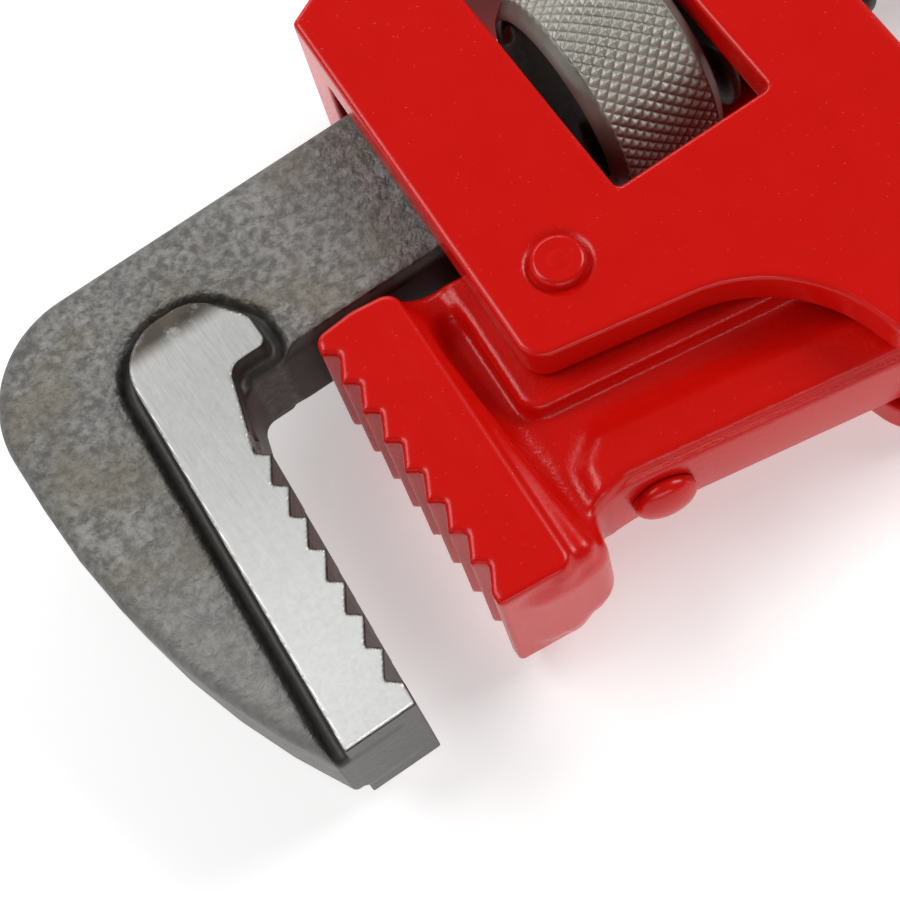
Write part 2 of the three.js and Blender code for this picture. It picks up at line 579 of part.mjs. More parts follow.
function heelBlock() {
  return outline([
    [HEEL_FACE_U, HEEL_END_V],
    [HEEL_STEP_U - 1.4, HEEL_END_V - 0.8, 1.2],
    [HEEL_STEP_U + 0.4, HEEL_TOP_V - 0.7, 2],
    [HEEL_STEP_U - 4.5, HEEL_TOP_V, 6],
    [HEEL_FACE_U + 0.4, HEEL_TOP_V - 0.4, 1.6],
    ...toothRow(HEEL_FACE_U, HEEL_FIRST_TOOTH_V, 1, 0, true),
    [HEEL_FACE_U, HEEL_END_V + 1.8],
  ]);
}

/** Lower step behind the heel, which runs out into the neck. */
function heelFoot() {
  return outline([
    [HEEL_STEP_U - 2, HEEL_END_V - 0.6],
    [HEEL_STEP_U + HEEL_FOOT_REACH, HEEL_END_V - 0.4, 1.2],
    [HEEL_STEP_U + HEEL_FOOT_REACH / 2, HEEL_TOP_V - 2],
    [HEEL_STEP_U - 2, HEEL_TOP_V - 2],
  ]);
}

function hangingSlot() {
  const slot = new THREE.Shape();
  const r = HANG_HOLE_WIDTH / 2;
  const x = HANDLE_END_X - HANG_HOLE_END_WALL - r;
  const y = (GRIP_END_BOTTOM_Y + GRIP_END_TOP_Y) / 2;
  slot.absarc(x, y, r, -Math.PI / 2, Math.PI / 2);
  slot.absarc(x - HANG_HOLE_LENGTH + 2 * r, y, r, Math.PI / 2, (3 * Math.PI) / 2);
  return slot;
}

function buildHandle() {
  const cut = (FLANGE_THICKNESS - WEB_THICKNESS) / 2 + 1;
  const cutMiddle = (WEB_THICKNESS + cut) / 2;
  const rivetBore = JAW_TO_HANDLE.clone().multiply(onSpringSeat()).multiply(placed([0, 0, 0], [90, 0, 0]));
  const pad = plate(padShape(), PAD_THICKNESS).intersect(plate(handleShape(), CUT_REACH));
  const springRoom = HANDLE_SPRING_WIDTH + 2 * RUNNING_CLEARANCE;
  const springSlot = new THREE.BoxGeometry(CUT_REACH, CUT_REACH, springRoom);
  const springFrontX = -HANDLE_SPRING_TAIL - RUNNING_CLEARANCE;
  const slotMiddle = placed([springFrontX + CUT_REACH / 2, CUT_REACH / 2, 0]);
  const overSeat = JAW_TO_HANDLE.clone().multiply(onSpringSeat()).multiply(slotMiddle);
  return plate(handleShape(), FLANGE_THICKNESS)
    .subtract(plate(pocketShape(), cut, cutMiddle))
    .subtract(plate(pocketShape(), cut, -cutMiddle))
    .add(pad)
    .subtract(solid(springSlot, overSeat))
    .add(plate(heelFoot(), HEEL_FOOT_THICKNESS, 0, JAW_TO_HANDLE))
    .add(plate(heelBlock(), HEEL_THICKNESS, 0, JAW_TO_HANDLE))
    .subtract(bar(PIVOT_RADIUS + RUNNING_CLEARANCE, CUT_REACH))
    .subtract(bar(HANDLE_RIVET_RADIUS + SEAT_GAP, CUT_REACH, 0, rivetBore))
    .subtract(plate(hangingSlot(), CUT_REACH));
}

// ---------- meshes ----------

const PAINT = { color: 0xc4160f, metalness: 0.0, roughness: 0.35 };
const JAW_STEEL = { color: 0x8d8b86, metalness: 1.0, roughness: 0.45 };
const NUT_STEEL = { color: 0x9b988c, metalness: 1.0, roughness: 0.5 };
const SPRING_STEEL = { color: 0x4a4a50, metalness: 1.0, roughness: 0.4 };

function toMesh(name, shape, look) {
  const { vertProperties, triVerts } = shape.getMesh();
  const geometry = new THREE.BufferGeometry();
  geometry.setAttribute('position', new THREE.BufferAttribute(new Float32Array(vertProperties), 3));
  geometry.setIndex(new THREE.BufferAttribute(new Uint32Array(triVerts), 1));
  geometry.computeVertexNormals();
  const mesh = new THREE.Mesh(geometry, new THREE.MeshStandardMaterial(look));
  mesh.name = name;
  return mesh;
}

const head = new THREE.Group();
head.name = 'head';
head.rotation.z = radians(SHANK_TILT);
head.add(toMesh('housing', buildHousing(), PAINT));
head.add(toMesh('pivot_rivet', buildPivotRivet(), PAINT));
head.add(toMesh('housing_leaf_spring', buildHousingSpring(), SPRING_STEEL));
head.add(toMesh('housing_spring_rivet', buildHousingSpringRivet(), PAINT));
head.add(toMesh('hook_jaw', buildHookJaw(), JAW_STEEL));
head.add(toMesh('adjusting_nut', buildNut(), NUT_STEEL));
head.add(toMesh('handle_leaf_spring', buildHandleSpring(), SPRING_STEEL));

const wrench = new THREE.Group();
wrench.name = 'pipe_wrench';
wrench.add(head);
wrench.add(toMesh('handle', buildHandle(), PAINT));
wrench.add(toMesh('handle_spring_rivet', buildHandleSpringRivet(), PAINT));

// The bottom centre of the whole wrench rests on the origin.
const extent = new THREE.Box3().setFromObject(wrench, true);
const middle = extent.getCenter(new THREE.Vector3());
wrench.position.set(-middle.x, -middle.y, -extent.min.z);
wrench.updateMatrixWorld(true);

export default wrench;
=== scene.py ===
"""Looks of the pipe wrench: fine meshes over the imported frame, materials, studio, camera."""

import json
import math

import bpy
import numpy as np
from mathutils import Matrix, Vector


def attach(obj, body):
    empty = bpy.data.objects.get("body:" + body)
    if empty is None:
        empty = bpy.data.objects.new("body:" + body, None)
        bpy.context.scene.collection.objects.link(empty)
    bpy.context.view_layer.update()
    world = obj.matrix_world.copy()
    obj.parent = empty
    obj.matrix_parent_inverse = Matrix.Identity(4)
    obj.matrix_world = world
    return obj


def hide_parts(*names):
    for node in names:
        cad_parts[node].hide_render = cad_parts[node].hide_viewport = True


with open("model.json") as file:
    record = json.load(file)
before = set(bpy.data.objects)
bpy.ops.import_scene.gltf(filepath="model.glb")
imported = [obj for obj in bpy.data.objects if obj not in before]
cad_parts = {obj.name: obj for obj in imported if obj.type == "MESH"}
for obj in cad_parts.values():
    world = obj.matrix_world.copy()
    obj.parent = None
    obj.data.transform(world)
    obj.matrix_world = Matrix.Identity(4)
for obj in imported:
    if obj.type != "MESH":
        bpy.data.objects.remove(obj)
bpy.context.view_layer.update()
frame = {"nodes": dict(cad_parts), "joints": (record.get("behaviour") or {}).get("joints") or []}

MM = 0.001

# The jaw frame has its origin on the housing pivot, u along the hook shank and v across it. The
# handle frame has the same origin, with x along the handle. Both are worked in millimetres.
JOINTS = {joint["name"]: joint for joint in frame["joints"]}
PIVOT = Vector(JOINTS["housing_rock"]["pos_m"])
SHANK_AXIS = -Vector(JOINTS["jaw_slide"]["axis"])
SHANK_TILT = math.atan2(SHANK_AXIS.y, SHANK_AXIS.x)
HANDLE_TO_ROW = Matrix.Translation(PIVOT) @ Matrix.Scale(MM, 4)
JAW_TO_ROW = HANDLE_TO_ROW @ Matrix.Rotation(SHANK_TILT, 4, "Z")

# ---------- sizes in millimetres, as the frame's pieces have them ----------

SHANK_HALF_HEIGHT = 11.3
SHANK_HALF_THICKNESS = 7.0
SHANK_CENTRE_V = 23.3
SHANK_BOTTOM_V = SHANK_CENTRE_V - SHANK_HALF_HEIGHT
SHANK_TOP_V = SHANK_CENTRE_V + SHANK_HALF_HEIGHT
THREAD_PITCH = 4.0
THREAD_DEPTH = 1.6
THREAD_START_U = 0.5
THREAD_END_U = 78.0
THREAD_HALF_FLATS = 6.7
THREAD_CLEARANCE = 0.6

HOOK_BACK_U = -62.1
HOOK_END_V = -31.2
HOOK_EDGE_RADIUS = 1.7
HOOK_SHOULDER_RADIUS = 14.2
HOOK_BACK_RADIUS = 89.0
HOOK_NOSE_BACKSET = 11.8
HOOK_TOOTH_TOP_U = -37.5
HOOK_FIRST_TOOTH_V = 1.8
HOOK_TOOTH_SLOPE = math.tan(math.radians(4.0))
HOOK_BLOCK_WIDTH = 9.6
HOOK_BLOCK_BACK_SLOPE = 0.0534
HOOK_BLOCK_HALF_THICKNESS = 9.4
HOOK_BLOCK_LOBE_V = 23.8
HOOK_LOBE_REACH = 6.7
HOOK_THROAT_DROP = 10.3  # from the lobe's top to its lower side
GROOVE_RADIUS = 1.15
GROOVE_OFFSET = 0.8
# how far from the tooth block the painted shade of its groove reaches
GROOVE_SHADE_WIDTH = 2.6
WINDOW_SHADE_U = (-6.0, -4.0)  # where the shank turns to painted shade, inside the housing
LOBE_SCALE_V = (19.2, 21.8)  # where the ground face turns to forging scale

TOOTH_PITCH = 4.3
TOOTH_DEPTH = 1.6
TOOTH_STEEP_SHARE = 0.28
TOOTH_COUNT = 8

HEEL_FACE_U = -26.9
HEEL_STEP_U = -16.9
HEEL_TOP_V = 10.4
HEEL_END_V = -28.0
HEEL_FIRST_TOOTH_V = 7.9
HEEL_HALF_THICKNESS = 11.0
HEEL_FOOT_HALF_THICKNESS = 10.0
HEEL_EDGE_RADIUS = 0.7
HEEL_FILLET = 4.0
HEEL_FOOT_REACH = 2.1
SHOULDER_DEPTH = 4.5
SHOULDER_V = SHANK_BOTTOM_V - 2.5

HANDLE_BOTTOM_Y = -24.5
HANDLE_TOP_Y = 4.0
HANDLE_HEAD_X = 60.0
HANDLE_END_X = 286.6
GRIP_WAIST = (150.0, -22.0, 0.0)  # x, bottom, top
GRIP_END = (241.6, -25.0, 2.0)
HANDLE_END_RADIUS = 11.5
HEAD_BEND_RADIUS = 200.0
WAIST_BEND_RADIUS = 400.0
END_BEND_RADIUS = 80.0
FLANGE_HALF_THICKNESS = 7.0
FLANGE_CREST_INSET = 1.0
FLANGE_DEPTH = 6.5
FLANGE_SLOPE_DEPTH = 0.8
POCKET_END_GAP = 5.5  # from the hanging slot
DRAFT = 0.5
FLANGE_FRONT_X = -7.0
WEB_HALF_THICKNESS = 5.0
PAD_HALF_THICKNESS = 7.6
PAD_FRONT_U = -12.2
PAD_BOTTOM_Y = -11.5
PAD_REAR_X = 62.0
SPRING_SEAT = (-9.42, 6.79, math.radians(10))  # u, v, slope
SPRING_SLOT_FRONT = -4.6
SPRING_SLOT_HALF_WIDTH = 4.9
SLOT_LENGTH = 20.0
SLOT_WIDTH = 11.0
SLOT_END_WALL = 11.0

HOUSING_HALF_THICKNESS = 13.5
HOUSING_EDGE_RADIUS = 0.7
CAVITY_HALF_WIDTH = 8.0
HOUSING_FRONT_U = -9.3
HOUSING_REAR_U = 46.0
HOUSING_FOOT_V = -8.0
HOUSING_TOP_V = 48.5
HOUSING_LOBE_V = -33.0
HOUSING_ROOF_V = 37.8
ARCH_U = 25.6
ARCH_RADIUS = 18.0
ARCH_DROP = 5.9
WINDOW_CORNER_RADIUS = 0.8
WINDOW = (10.4, 3.7, 31.1, 43.0)  # lowest u and v, highest u and v

NUT_RADIUS = 14.2
NUT_FRONT_U = 13.8
NUT_LENGTH = 15.8
NUT_CHAMFER = 1.6
NUT_BORE_RADIUS = SHANK_HALF_HEIGHT + 0.9
KNURL_PITCH = 1.7
KNURL_DEPTH = 0.42
KNURL_CREST_CUT = 1.35  # how far the ridges' tops are worn flat
KNURL_RUN_OUT = 0.5

PIVOT_HEAD_RADIUS = 3.2
PIVOT_HEAD_PROUD = 1.0
PIVOT_HEAD_EDGE = 0.8
PIVOT_RING_RADIUS = 1.3
PIVOT_RING_DEPTH = 0.07
PIVOT_DISH_DEPTH = 0.28
PIVOT_DISH_GAP = 0.3
SEAT_GAP = 0.25
SPRING_THICKNESS = 1.1
CLENCH_HEIGHT = 0.6
CLENCH_LIP = 0.85
HANDLE_RIVET_RADIUS = 2.0
HANDLE_RIVET_HEAD_RADIUS = 3.8
HANDLE_RIVET_HEAD_HEIGHT = 2.2
HANDLE_RIVET_U = -3.9
HANDLE_RIVET_SUNK = 0.3  # head into the flange
HANDLE_RIVET_TIP_GAP = 4.0  # from the shaft to the flange's lower face
HOUSING_RIVET_RADIUS = 1.6
HOUSING_RIVET_HEAD_RADIUS = 3.0
HOUSING_RIVET_HEAD_HEIGHT = 1.4
HOUSING_RIVET_U = 4.6

FINE_CELL = 0.3  # of the distance fields

# ---------- studio sizes in metres ----------

FLOOR_SIZE = 6.0
FLOOR_GAP = 0.0005
FLOOR_GLOW = 0.4
ROOM_LIGHT = 0.12
SOFT_BOXES = [  # name, place from the pivot, size, watts
    ("high_left", (-0.60, 0.35, 0.80), (0.6, 0.5), 5.2),
    ("high_right", (0.80, 0.15, 0.66), (0.5, 0.5), 5.8),
    ("back", (0.00, 0.90, 0.45), (0.9, 0.3), 3.2),
    ("front_strip", (-0.15, -0.90, 0.38), (0.9, 0.2), 2.4),
    ("left_strip", (-0.90, -0.10, 0.35), (0.9, 0.2), 1.0),
]

# ---------- camera, in the jaw frame ----------

CAMERA_PLACE = (-43.76, -98.06, 230.4)
CAMERA_TARGET = (-20.41, -5.85, 0.0)
CAMERA_UP = (0.5539, 0.7521, 0.3571)
LENS_MM = 88
SENSOR_MM = 36
NEAREST_SEEN = 0.01  # metres


# ---------- outlines and distances ----------

def outline(corners, step=math.radians(5)):
    """Closed outline from corners (x, y, radius), anticlockwise; a radius turns a corner into an arc."""
    points = []
    for i, corner in enumerate(corners):
        x, y, radius = (*corner, 0)[:3]
        here = np.array([x, y], float)
        if radius == 0:
            points.append(here)
            continue
        back = np.array(corners[i - 1][:2], float) - here
        on = np.array(corners[(i + 1) % len(corners)][:2], float) - here
        back /= np.linalg.norm(back)
        on /= np.linalg.norm(on)
        half = math.acos(np.clip(back @ on, -1, 1)) / 2
        inward = (back + on) / np.linalg.norm(back + on)
        centre = here + inward * radius / math.sin(half)
        start = here + back * radius / math.tan(half) - centre
        end = here + on * radius / math.tan(half) - centre
        turn = math.atan2(start[0] * end[1] - start[1] * end[0], start @ end)
        steps = max(2, math.ceil(abs(turn) / step))
        for angle in np.linspace(0, turn, steps + 1):
            c, s = math.cos(angle), math.sin(angle)
            points.append(centre + [c * start[0] - s * start[1], s * start[0] + c * start[1]])
    return np.array(points)


def outline_distance(points, x, y):
    """Signed distance from each grid point to a closed outline, negative inside."""
    nearest = np.full(x.shape, np.inf)
    inside = np.zeros(x.shape, bool)
    for a, b in zip(points, np.roll(points, -1, axis=0)):
        edge = b - a
        if not edge.any():
            continue
        px, py = x - a[0], y - a[1]
        along = np.clip((px * edge[0] + py * edge[1]) / (edge @ edge), 0, 1)
        nearest = np.minimum(nearest, np.hypot(px - along * edge[0], py - along * edge[1]))
        if edge[1] != 0:
            crosses = (a[1] > y) != (b[1] > y)
            inside ^= crosses & (px < py * edge[0] / edge[1])
    return np.where(inside, -nearest, nearest)


def from_jaw(u, v):
    """A jaw frame point in the handle frame."""
    c, s = math.cos(SHANK_TILT), math.sin(SHANK_TILT)
    return u * c - v * s, u * s + v * c


def to_jaw(x, y):
    """A handle frame point in the jaw frame."""
    c, s = math.cos(SHANK_TILT), math.sin(SHANK_TILT)
    return x * c + y * s, y * c - x * s


def tooth_row(face_u, first_tip_v, into, slope, steep_after_tip, tip_radius, root_radius):
    """Corners down a row of teeth from its top tip; metal lies towards `into` from the tips."""
    steep = TOOTH_PITCH * TOOTH_STEEP_SHARE
    root_drop = steep if steep_after_tip else TOOTH_PITCH - steep
    corners = []
    for i in range(TOOTH_COUNT):
        tip = -i * TOOTH_PITCH
        root = tip - root_drop
        corners.append((face_u + tip * slope, first_tip_v + tip, tip_radius))
        if i < TOOTH_COUNT - 1 or steep_after_tip:
            root_u = face_u + root * slope + into * TOOTH_DEPTH
            corners.append((root_u, first_tip_v + root, root_radius))
    return corners


# ---------- blending of distance fields ----------

def joined(a, b, fillet):
    """Union of two solids, with a fillet where they meet."""
    h = np.clip(0.5 + 0.5 * (b - a) / fillet, 0, 1)
    return b + (a - b) * h - fillet * h * (1 - h)


def common(a, b, rounding):
    """Intersection of two solids, with its edge rounded."""
    return -joined(-a, -b, rounding)


def cut(a, b, rounding):
    """a with b taken away, the new edge rounded."""
    return common(a, -b, rounding)


def plate(flat_distance, z, half_thickness, edge_radius):
    """Plate over a flat outline's distance, with rounded edges."""
    across = flat_distance + edge_radius
    through = np.abs(z) - half_thickness + edge_radius
    outside = np.hypot(np.maximum(across, 0), np.maximum(through, 0))
    return np.minimum(np.maximum(across, through), 0) + outside - edge_radius


# ---------- meshes from distance fields ----------

CELL_CORNERS = [(i, j, k) for i in (0, 1) for j in (0, 1) for k in (0, 1)]
CELL_EDGES = [
    (a, b) for a in range(8) for b in range(a + 1, 8)
    if sum(abs(p - q) for p, q in zip(CELL_CORNERS[a], CELL_CORNERS[b])) == 1
]


def sampled(grid, cell, share):
    """Trilinear values of a grid at places inside its cells."""
    total = 0
    for corner in CELL_CORNERS:
        weight = 1
        for axis in range(3):
            weight = weight * (share[axis] if corner[axis] else 1 - share[axis])
        total = total + weight * grid[tuple(cell[axis] + corner[axis] for axis in range(3))]
    return total


def surface(values, axes):
    """Vertices, quads and normals of the zero surface of a field on a grid, one vertex a cell."""
    inside = values < 0
    shape = [n - 1 for n in values.shape]
    count = np.zeros(shape, np.uint8)
    for i, j, k in CELL_CORNERS:
        count += inside[i:shape[0] + i, j:shape[1] + j, k:shape[2] + k]
    cell = np.nonzero((count > 0) & (count < 8))
    number = np.full(shape, -1, np.int64)
    number[cell] = np.arange(len(cell[0]))

    corner_values = [values[cell[0] + i, cell[1] + j, cell[2] + k] for i, j, k in CELL_CORNERS]
    total = np.zeros((3, len(cell[0])))
    crossings = np.zeros(len(cell[0]))
    for a, b in CELL_EDGES:
        fa, fb = corner_values[a], corner_values[b]
        crosses = (fa < 0) != (fb < 0)
        t = np.where(crosses, fa / np.where(crosses, fa - fb, 1), 0)
        for axis in range(3):
            low, high = CELL_CORNERS[a][axis], CELL_CORNERS[b][axis]
            total[axis] += np.where(crosses, low + (high - low) * t, 0)
        crossings += crosses
    share = list(total / crossings)

    steps = [np.diff(axis) for axis in axes]
    slopes = np.gradient(values, *axes)
    normals = np.stack([sampled(slope, cell, share) for slope in slopes], 1)
    steepness = np.maximum(np.linalg.norm(normals, axis=1), 1e-6)
    normals /= steepness[:, None]
    miss = sampled(values, cell, share) / steepness
    places = np.stack([axes[i][cell[i]] + share[i] * steps[i][cell[i]] for i in range(3)], 1)
    reach = 0.5 * min(step.min() for step in steps)
    places -= np.clip(miss, -reach, reach)[:, None] * normals

    quads = []
    for axis in range(3):
        p, q = (axis + 1) % 3, (axis + 2) % 3
        low = np.moveaxis(inside, axis, 0)
        changes = np.moveaxis(low[1:] != low[:-1], 0, axis)
        i = list(np.nonzero(changes))
        keep = (i[p] > 0) & (i[q] > 0) & (i[p] < shape[p]) & (i[q] < shape[q])
        i = [index[keep] for index in i]
        ring = []
        for dp, dq in ((-1, -1), (0, -1), (0, 0), (-1, 0)):
            at = list(i)
            at[p] = i[p] + dp
            at[q] = i[q] + dq
            ring.append(number[tuple(at)])
        ring = np.stack(ring, 1)
        outward = inside[tuple(i)]
        quads.append(np.where(outward[:, None], ring, ring[:, ::-1]))
    return places, np.concatenate(quads), normals


def placed(name, mesh, body, replaced):
    """Scene object of a mesh, riding on a body and standing for CAD nodes."""
    piece = bpy.data.objects.new(name, mesh)
    bpy.context.scene.collection.objects.link(piece)
    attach(piece, body)
    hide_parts(*replaced)
    return piece


def new_piece(name, places, faces, to_row, body, replaced, normals=None):
    """Blender object from points in millimetres, riding on a body and standing for CAD nodes."""
    matrix = np.array(to_row)
    mesh = bpy.data.meshes.new(name)
    corners = faces.shape[1]
    mesh.vertices.add(len(places))
    mesh.vertices.foreach_set("co", (places @ matrix[:3, :3].T + matrix[:3, 3]).ravel())
    mesh.loops.add(faces.size)
    mesh.loops.foreach_set("vertex_index", faces.ravel().astype(np.int32))
    mesh.polygons.add(len(faces))
    mesh.polygons.foreach_set("loop_start", np.arange(0, faces.size, corners, dtype=np.int32))
    mesh.polygons.foreach_set("use_smooth", np.ones(len(faces), bool))
    mesh.update(calc_edges=True)
    mesh.validate()
    if normals is not None:
        turned = normals @ matrix[:3, :3].T
        turned /= np.linalg.norm(turned, axis=1)[:, None]
        mesh.normals_split_custom_set_from_vertices(turned.tolist())
    return placed(name, mesh, body, replaced)


def set_mask(piece, name, values):
    """Per-vertex number that a material reads."""
    made = piece.data.attributes.new(name, "FLOAT", "POINT")
    made.data.foreach_set("value", np.asarray(values, np.float32))


def step_between(value, low, high):
    """Smooth step from 0 at low to 1 at high."""
    share = np.clip((value - low) / (high - low), 0, 1)
    return share * share * (3 - 2 * share)


def grid(x, y, z):
    """Broadcasting coordinates of a grid, and the flat x, y grid for outlines."""
    flat = np.meshgrid(x, y, indexing="ij")
    return flat, np.asarray(z)[None, None, :]


def spaced(*stretches):
    """Grid lines from (start, step) pairs; the last pair's start ends the lines."""
    lines = [stretches[0][0]]
    for (start, step), (end, _) in zip(stretches, stretches[1:]):
        count = max(1, round((end - start) / step))
        lines += list(start + (end - start) * np.arange(1, count + 1) / count)
    return np.array(lines)


# ---------- handle with the heel jaw ----------

def handle_outline(inset=0.0):
    """Side view of the handle; `inset` lowers only the flanges' crests."""
    waist_x, waist_bottom, waist_top = GRIP_WAIST
    end_x, end_bottom, end_top = GRIP_END
    neck = from_jaw(HEEL_STEP_U + 4.5, HEEL_END_V + 4.5)
    inside_heel = (HEEL_FACE_U + HEEL_STEP_U) / 2
    end_radius = HANDLE_END_RADIUS - inset
    return outline([
        from_jaw(inside_heel, HEEL_END_V),
        (*from_jaw(HEEL_STEP_U + 2.9, HEEL_END_V), 1.6),
        (*neck, 2.4),
        (neck[0] + 5, HANDLE_BOTTOM_Y + inset, 4),
        (HANDLE_HEAD_X, HANDLE_BOTTOM_Y + inset, HEAD_BEND_RADIUS),
        (waist_x, waist_bottom + inset, WAIST_BEND_RADIUS),
        (end_x, end_bottom + inset, END_BEND_RADIUS),
        (HANDLE_END_X - inset, end_bottom + 2 + inset, end_radius),
        (HANDLE_END_X - inset, end_top - 2 - inset, end_radius),
        (end_x, end_top - inset, END_BEND_RADIUS),
        (waist_x, waist_top - inset, WAIST_BEND_RADIUS),
        (HANDLE_HEAD_X, HANDLE_TOP_Y - inset, HEAD_BEND_RADIUS),
        (*from_jaw(7.5, 1.4), 6),
        (*from_jaw(-3.9, SHOULDER_V - 1.7), 1.5),
        from_jaw(PAD_FRONT_U, SHOULDER_V - 0.7),
        from_jaw(inside_heel, SHOULDER_V),
    ])


def pocket_outline():
    """Hollow between the flanges, and on to the heel in front of the lower one."""
    waist_x, waist_bottom, waist_top = GRIP_WAIST
    _, end_bottom, end_top = GRIP_END
    under_pad_x = from_jaw(PAD_FRONT_U + 4, 0)[0]
    shoulder_foot_v = SHOULDER_V - SHOULDER_DEPTH
    rear_x = HANDLE_END_X - SLOT_END_WALL - SLOT_LENGTH - POCKET_END_GAP
    d = FLANGE_DEPTH + FLANGE_SLOPE_DEPTH
    return outline([
        from_jaw(HEEL_STEP_U - 4, HEEL_END_V - d),
        (FLANGE_FRONT_X - 0.6, HANDLE_BOTTOM_Y - d),
        (FLANGE_FRONT_X, HANDLE_BOTTOM_Y + 4.2, 2),
        (FLANGE_FRONT_X + 3, HANDLE_BOTTOM_Y + d, 2.5),
        (HANDLE_HEAD_X, HANDLE_BOTTOM_Y + d, HEAD_BEND_RADIUS),
        (waist_x, waist_bottom + d, WAIST_BEND_RADIUS),
        (rear_x, end_bottom + d + 1, 5),
        (rear_x, end_top - d - 1, 5),
        (waist_x, waist_top - d, WAIST_BEND_RADIUS),
        (HANDLE_HEAD_X, HANDLE_TOP_Y - d, HEAD_BEND_RADIUS),
        (under_pad_x, HANDLE_TOP_Y - d),
        from_jaw(PAD_FRONT_U + 4, shoulder_foot_v),
        from_jaw(HEEL_STEP_U - 4, shoulder_foot_v),
    ])


def pad_outline():
    """Raised face that the housing's cheeks run over; it goes past the handle's top, which trims it."""
    past_top = HANDLE_TOP_Y + 26
    return outline([
        (*from_jaw(PAD_FRONT_U - 0.3, -11.1), 3.2),
        (PAD_REAR_X, PAD_BOTTOM_Y, 3),
        (PAD_REAR_X, past_top),
        (from_jaw(PAD_FRONT_U, SHOULDER_V)[0], past_top),
        from_jaw(PAD_FRONT_U + 0.9, SHOULDER_V),
    ])


def heel_outline():
    """Heel jaw's side view, in the jaw frame."""
    teeth = tooth_row(HEEL_FACE_U, HEEL_FIRST_TOOTH_V, 1, 0, True, 0.22, 0.3)
    return outline([
        (HEEL_FACE_U, HEEL_END_V, 0.6),
        (HEEL_STEP_U - 1.0, HEEL_END_V - 0.8, 1.6),
        (HEEL_STEP_U + 0.8, HEEL_TOP_V - 0.7, 2),
        (HEEL_STEP_U - 4.5, HEEL_TOP_V, 6),
        (HEEL_FACE_U + 0.4, HEEL_TOP_V - 0.4, 1.6),
        *teeth,
        (HEEL_FACE_U, HEEL_END_V + 1.8, 0.3),
    ])


def heel_foot_outline():
    """Lower step behind the heel, which runs out into the neck."""
    rear = HEEL_STEP_U + HEEL_FOOT_REACH
    return outline([
        (HEEL_STEP_U - 3, HEEL_END_V - 0.6),
        (rear, HEEL_END_V - 0.4, 1.5),
        (rear - 0.9, HEEL_TOP_V - 3, 2),
        (HEEL_STEP_U - 3, HEEL_TOP_V - 3),
    ])


def slot_distance(x, y):
    """Distance to the hanging slot's outline, negative in the opening."""
    radius = SLOT_WIDTH / 2
    centre_x = HANDLE_END_X - SLOT_END_WALL - SLOT_LENGTH / 2
    centre_y = (GRIP_END[1] + GRIP_END[2]) / 2
    beyond = np.maximum(np.abs(x - centre_x) - (SLOT_LENGTH / 2 - radius), 0)
    return np.hypot(beyond, y - centre_y) - radius


def spring_room(u, v, z):
    """Distance to the slot over the leaf spring's seat, open towards the shank."""
    seat_u, seat_v, slope = SPRING_SEAT
    along = ((u - seat_u) * math.cos(slope) + (v - seat_v) * math.sin(slope))[..., None]
    over = ((v - seat_v) * math.cos(slope) - (u - seat_u) * math.sin(slope))[..., None]
    lengthwise = np.maximum(SPRING_SLOT_FRONT - along, -over)
    return np.maximum(lengthwise, np.abs(z) - SPRING_SLOT_HALF_WIDTH)


def build_handle():
    slot_end_x = HANDLE_END_X - 40
    xs = spaced((-29.5, FINE_CELL), (46.0, 0.8), (slot_end_x, 0.6), (HANDLE_END_X + 1.2, 0.6))
    ys = spaced((-34.0, FINE_CELL), (9.6, FINE_CELL))
    zs = spaced((-11.7, FINE_CELL), (11.7, FINE_CELL))
    (x, y), z = grid(xs, ys, zs)
    u, v = to_jaw(x, y)

    side = outline_distance(handle_outline(), x, y)[..., None]
    crest = outline_distance(handle_outline(FLANGE_CREST_INSET), x, y)[..., None]
    hollow = outline_distance(pocket_outline(), x, y)[..., None]
    pad = outline_distance(pad_outline(), x, y)[..., None]
    heel = outline_distance(heel_outline(), u, v)[..., None]
    foot = outline_distance(heel_foot_outline(), u, v)[..., None]
    slot = slot_distance(x, y)[..., None]
    draft = DRAFT * (z / FLANGE_HALF_THICKNESS) ** 2

    bar = plate(side + draft, z, FLANGE_HALF_THICKNESS - 1.0, 1.0)
    bar = np.minimum(bar, plate(crest, z, FLANGE_HALF_THICKNESS, 1.3))
    pocket = common(hollow, WEB_HALF_THICKNESS - np.abs(z), 3.0)
    bar = cut(bar, pocket, 1.6)
    pad = common(plate(pad + 0.5, z, PAD_HALF_THICKNESS, 1.0), side + 0.5, 1.0)
    solid = joined(bar, pad, 1.3)
    foot = plate(foot, z, HEEL_FOOT_HALF_THICKNESS, 1.6)
    heel = joined(foot, plate(heel, z, HEEL_HALF_THICKNESS, HEEL_EDGE_RADIUS), 1.6)
    solid = joined(solid, heel, HEEL_FILLET)
    solid = cut(solid, np.broadcast_to(slot, solid.shape), 1.6)
    solid = cut(solid, spring_room(u, v, z), 0.4)

    places, quads, normals = surface(solid, (xs, ys, zs))
    piece = new_piece("handle_forging", places, quads, HANDLE_TO_ROW, "handle", ["handle"], normals)
    below_heel_face = HEEL_HALF_THICKNESS - np.abs(places[:, 2])
    set_mask(piece, "cast", step_between(below_heel_face, 0.5, 2.0))
    return piece


# ---------- hook jaw ----------

def hook_face_u(v):
    """The line through the hook's tooth tips."""
    return HOOK_TOOTH_TOP_U + (v - HOOK_FIRST_TOOTH_V) * HOOK_TOOTH_SLOPE


def hook_back_u(v):
    """The tooth block's back edge."""
    slant = (v - HOOK_FIRST_TOOTH_V) * HOOK_BLOCK_BACK_SLOPE
    return HOOK_TOOTH_TOP_U - HOOK_BLOCK_WIDTH + slant


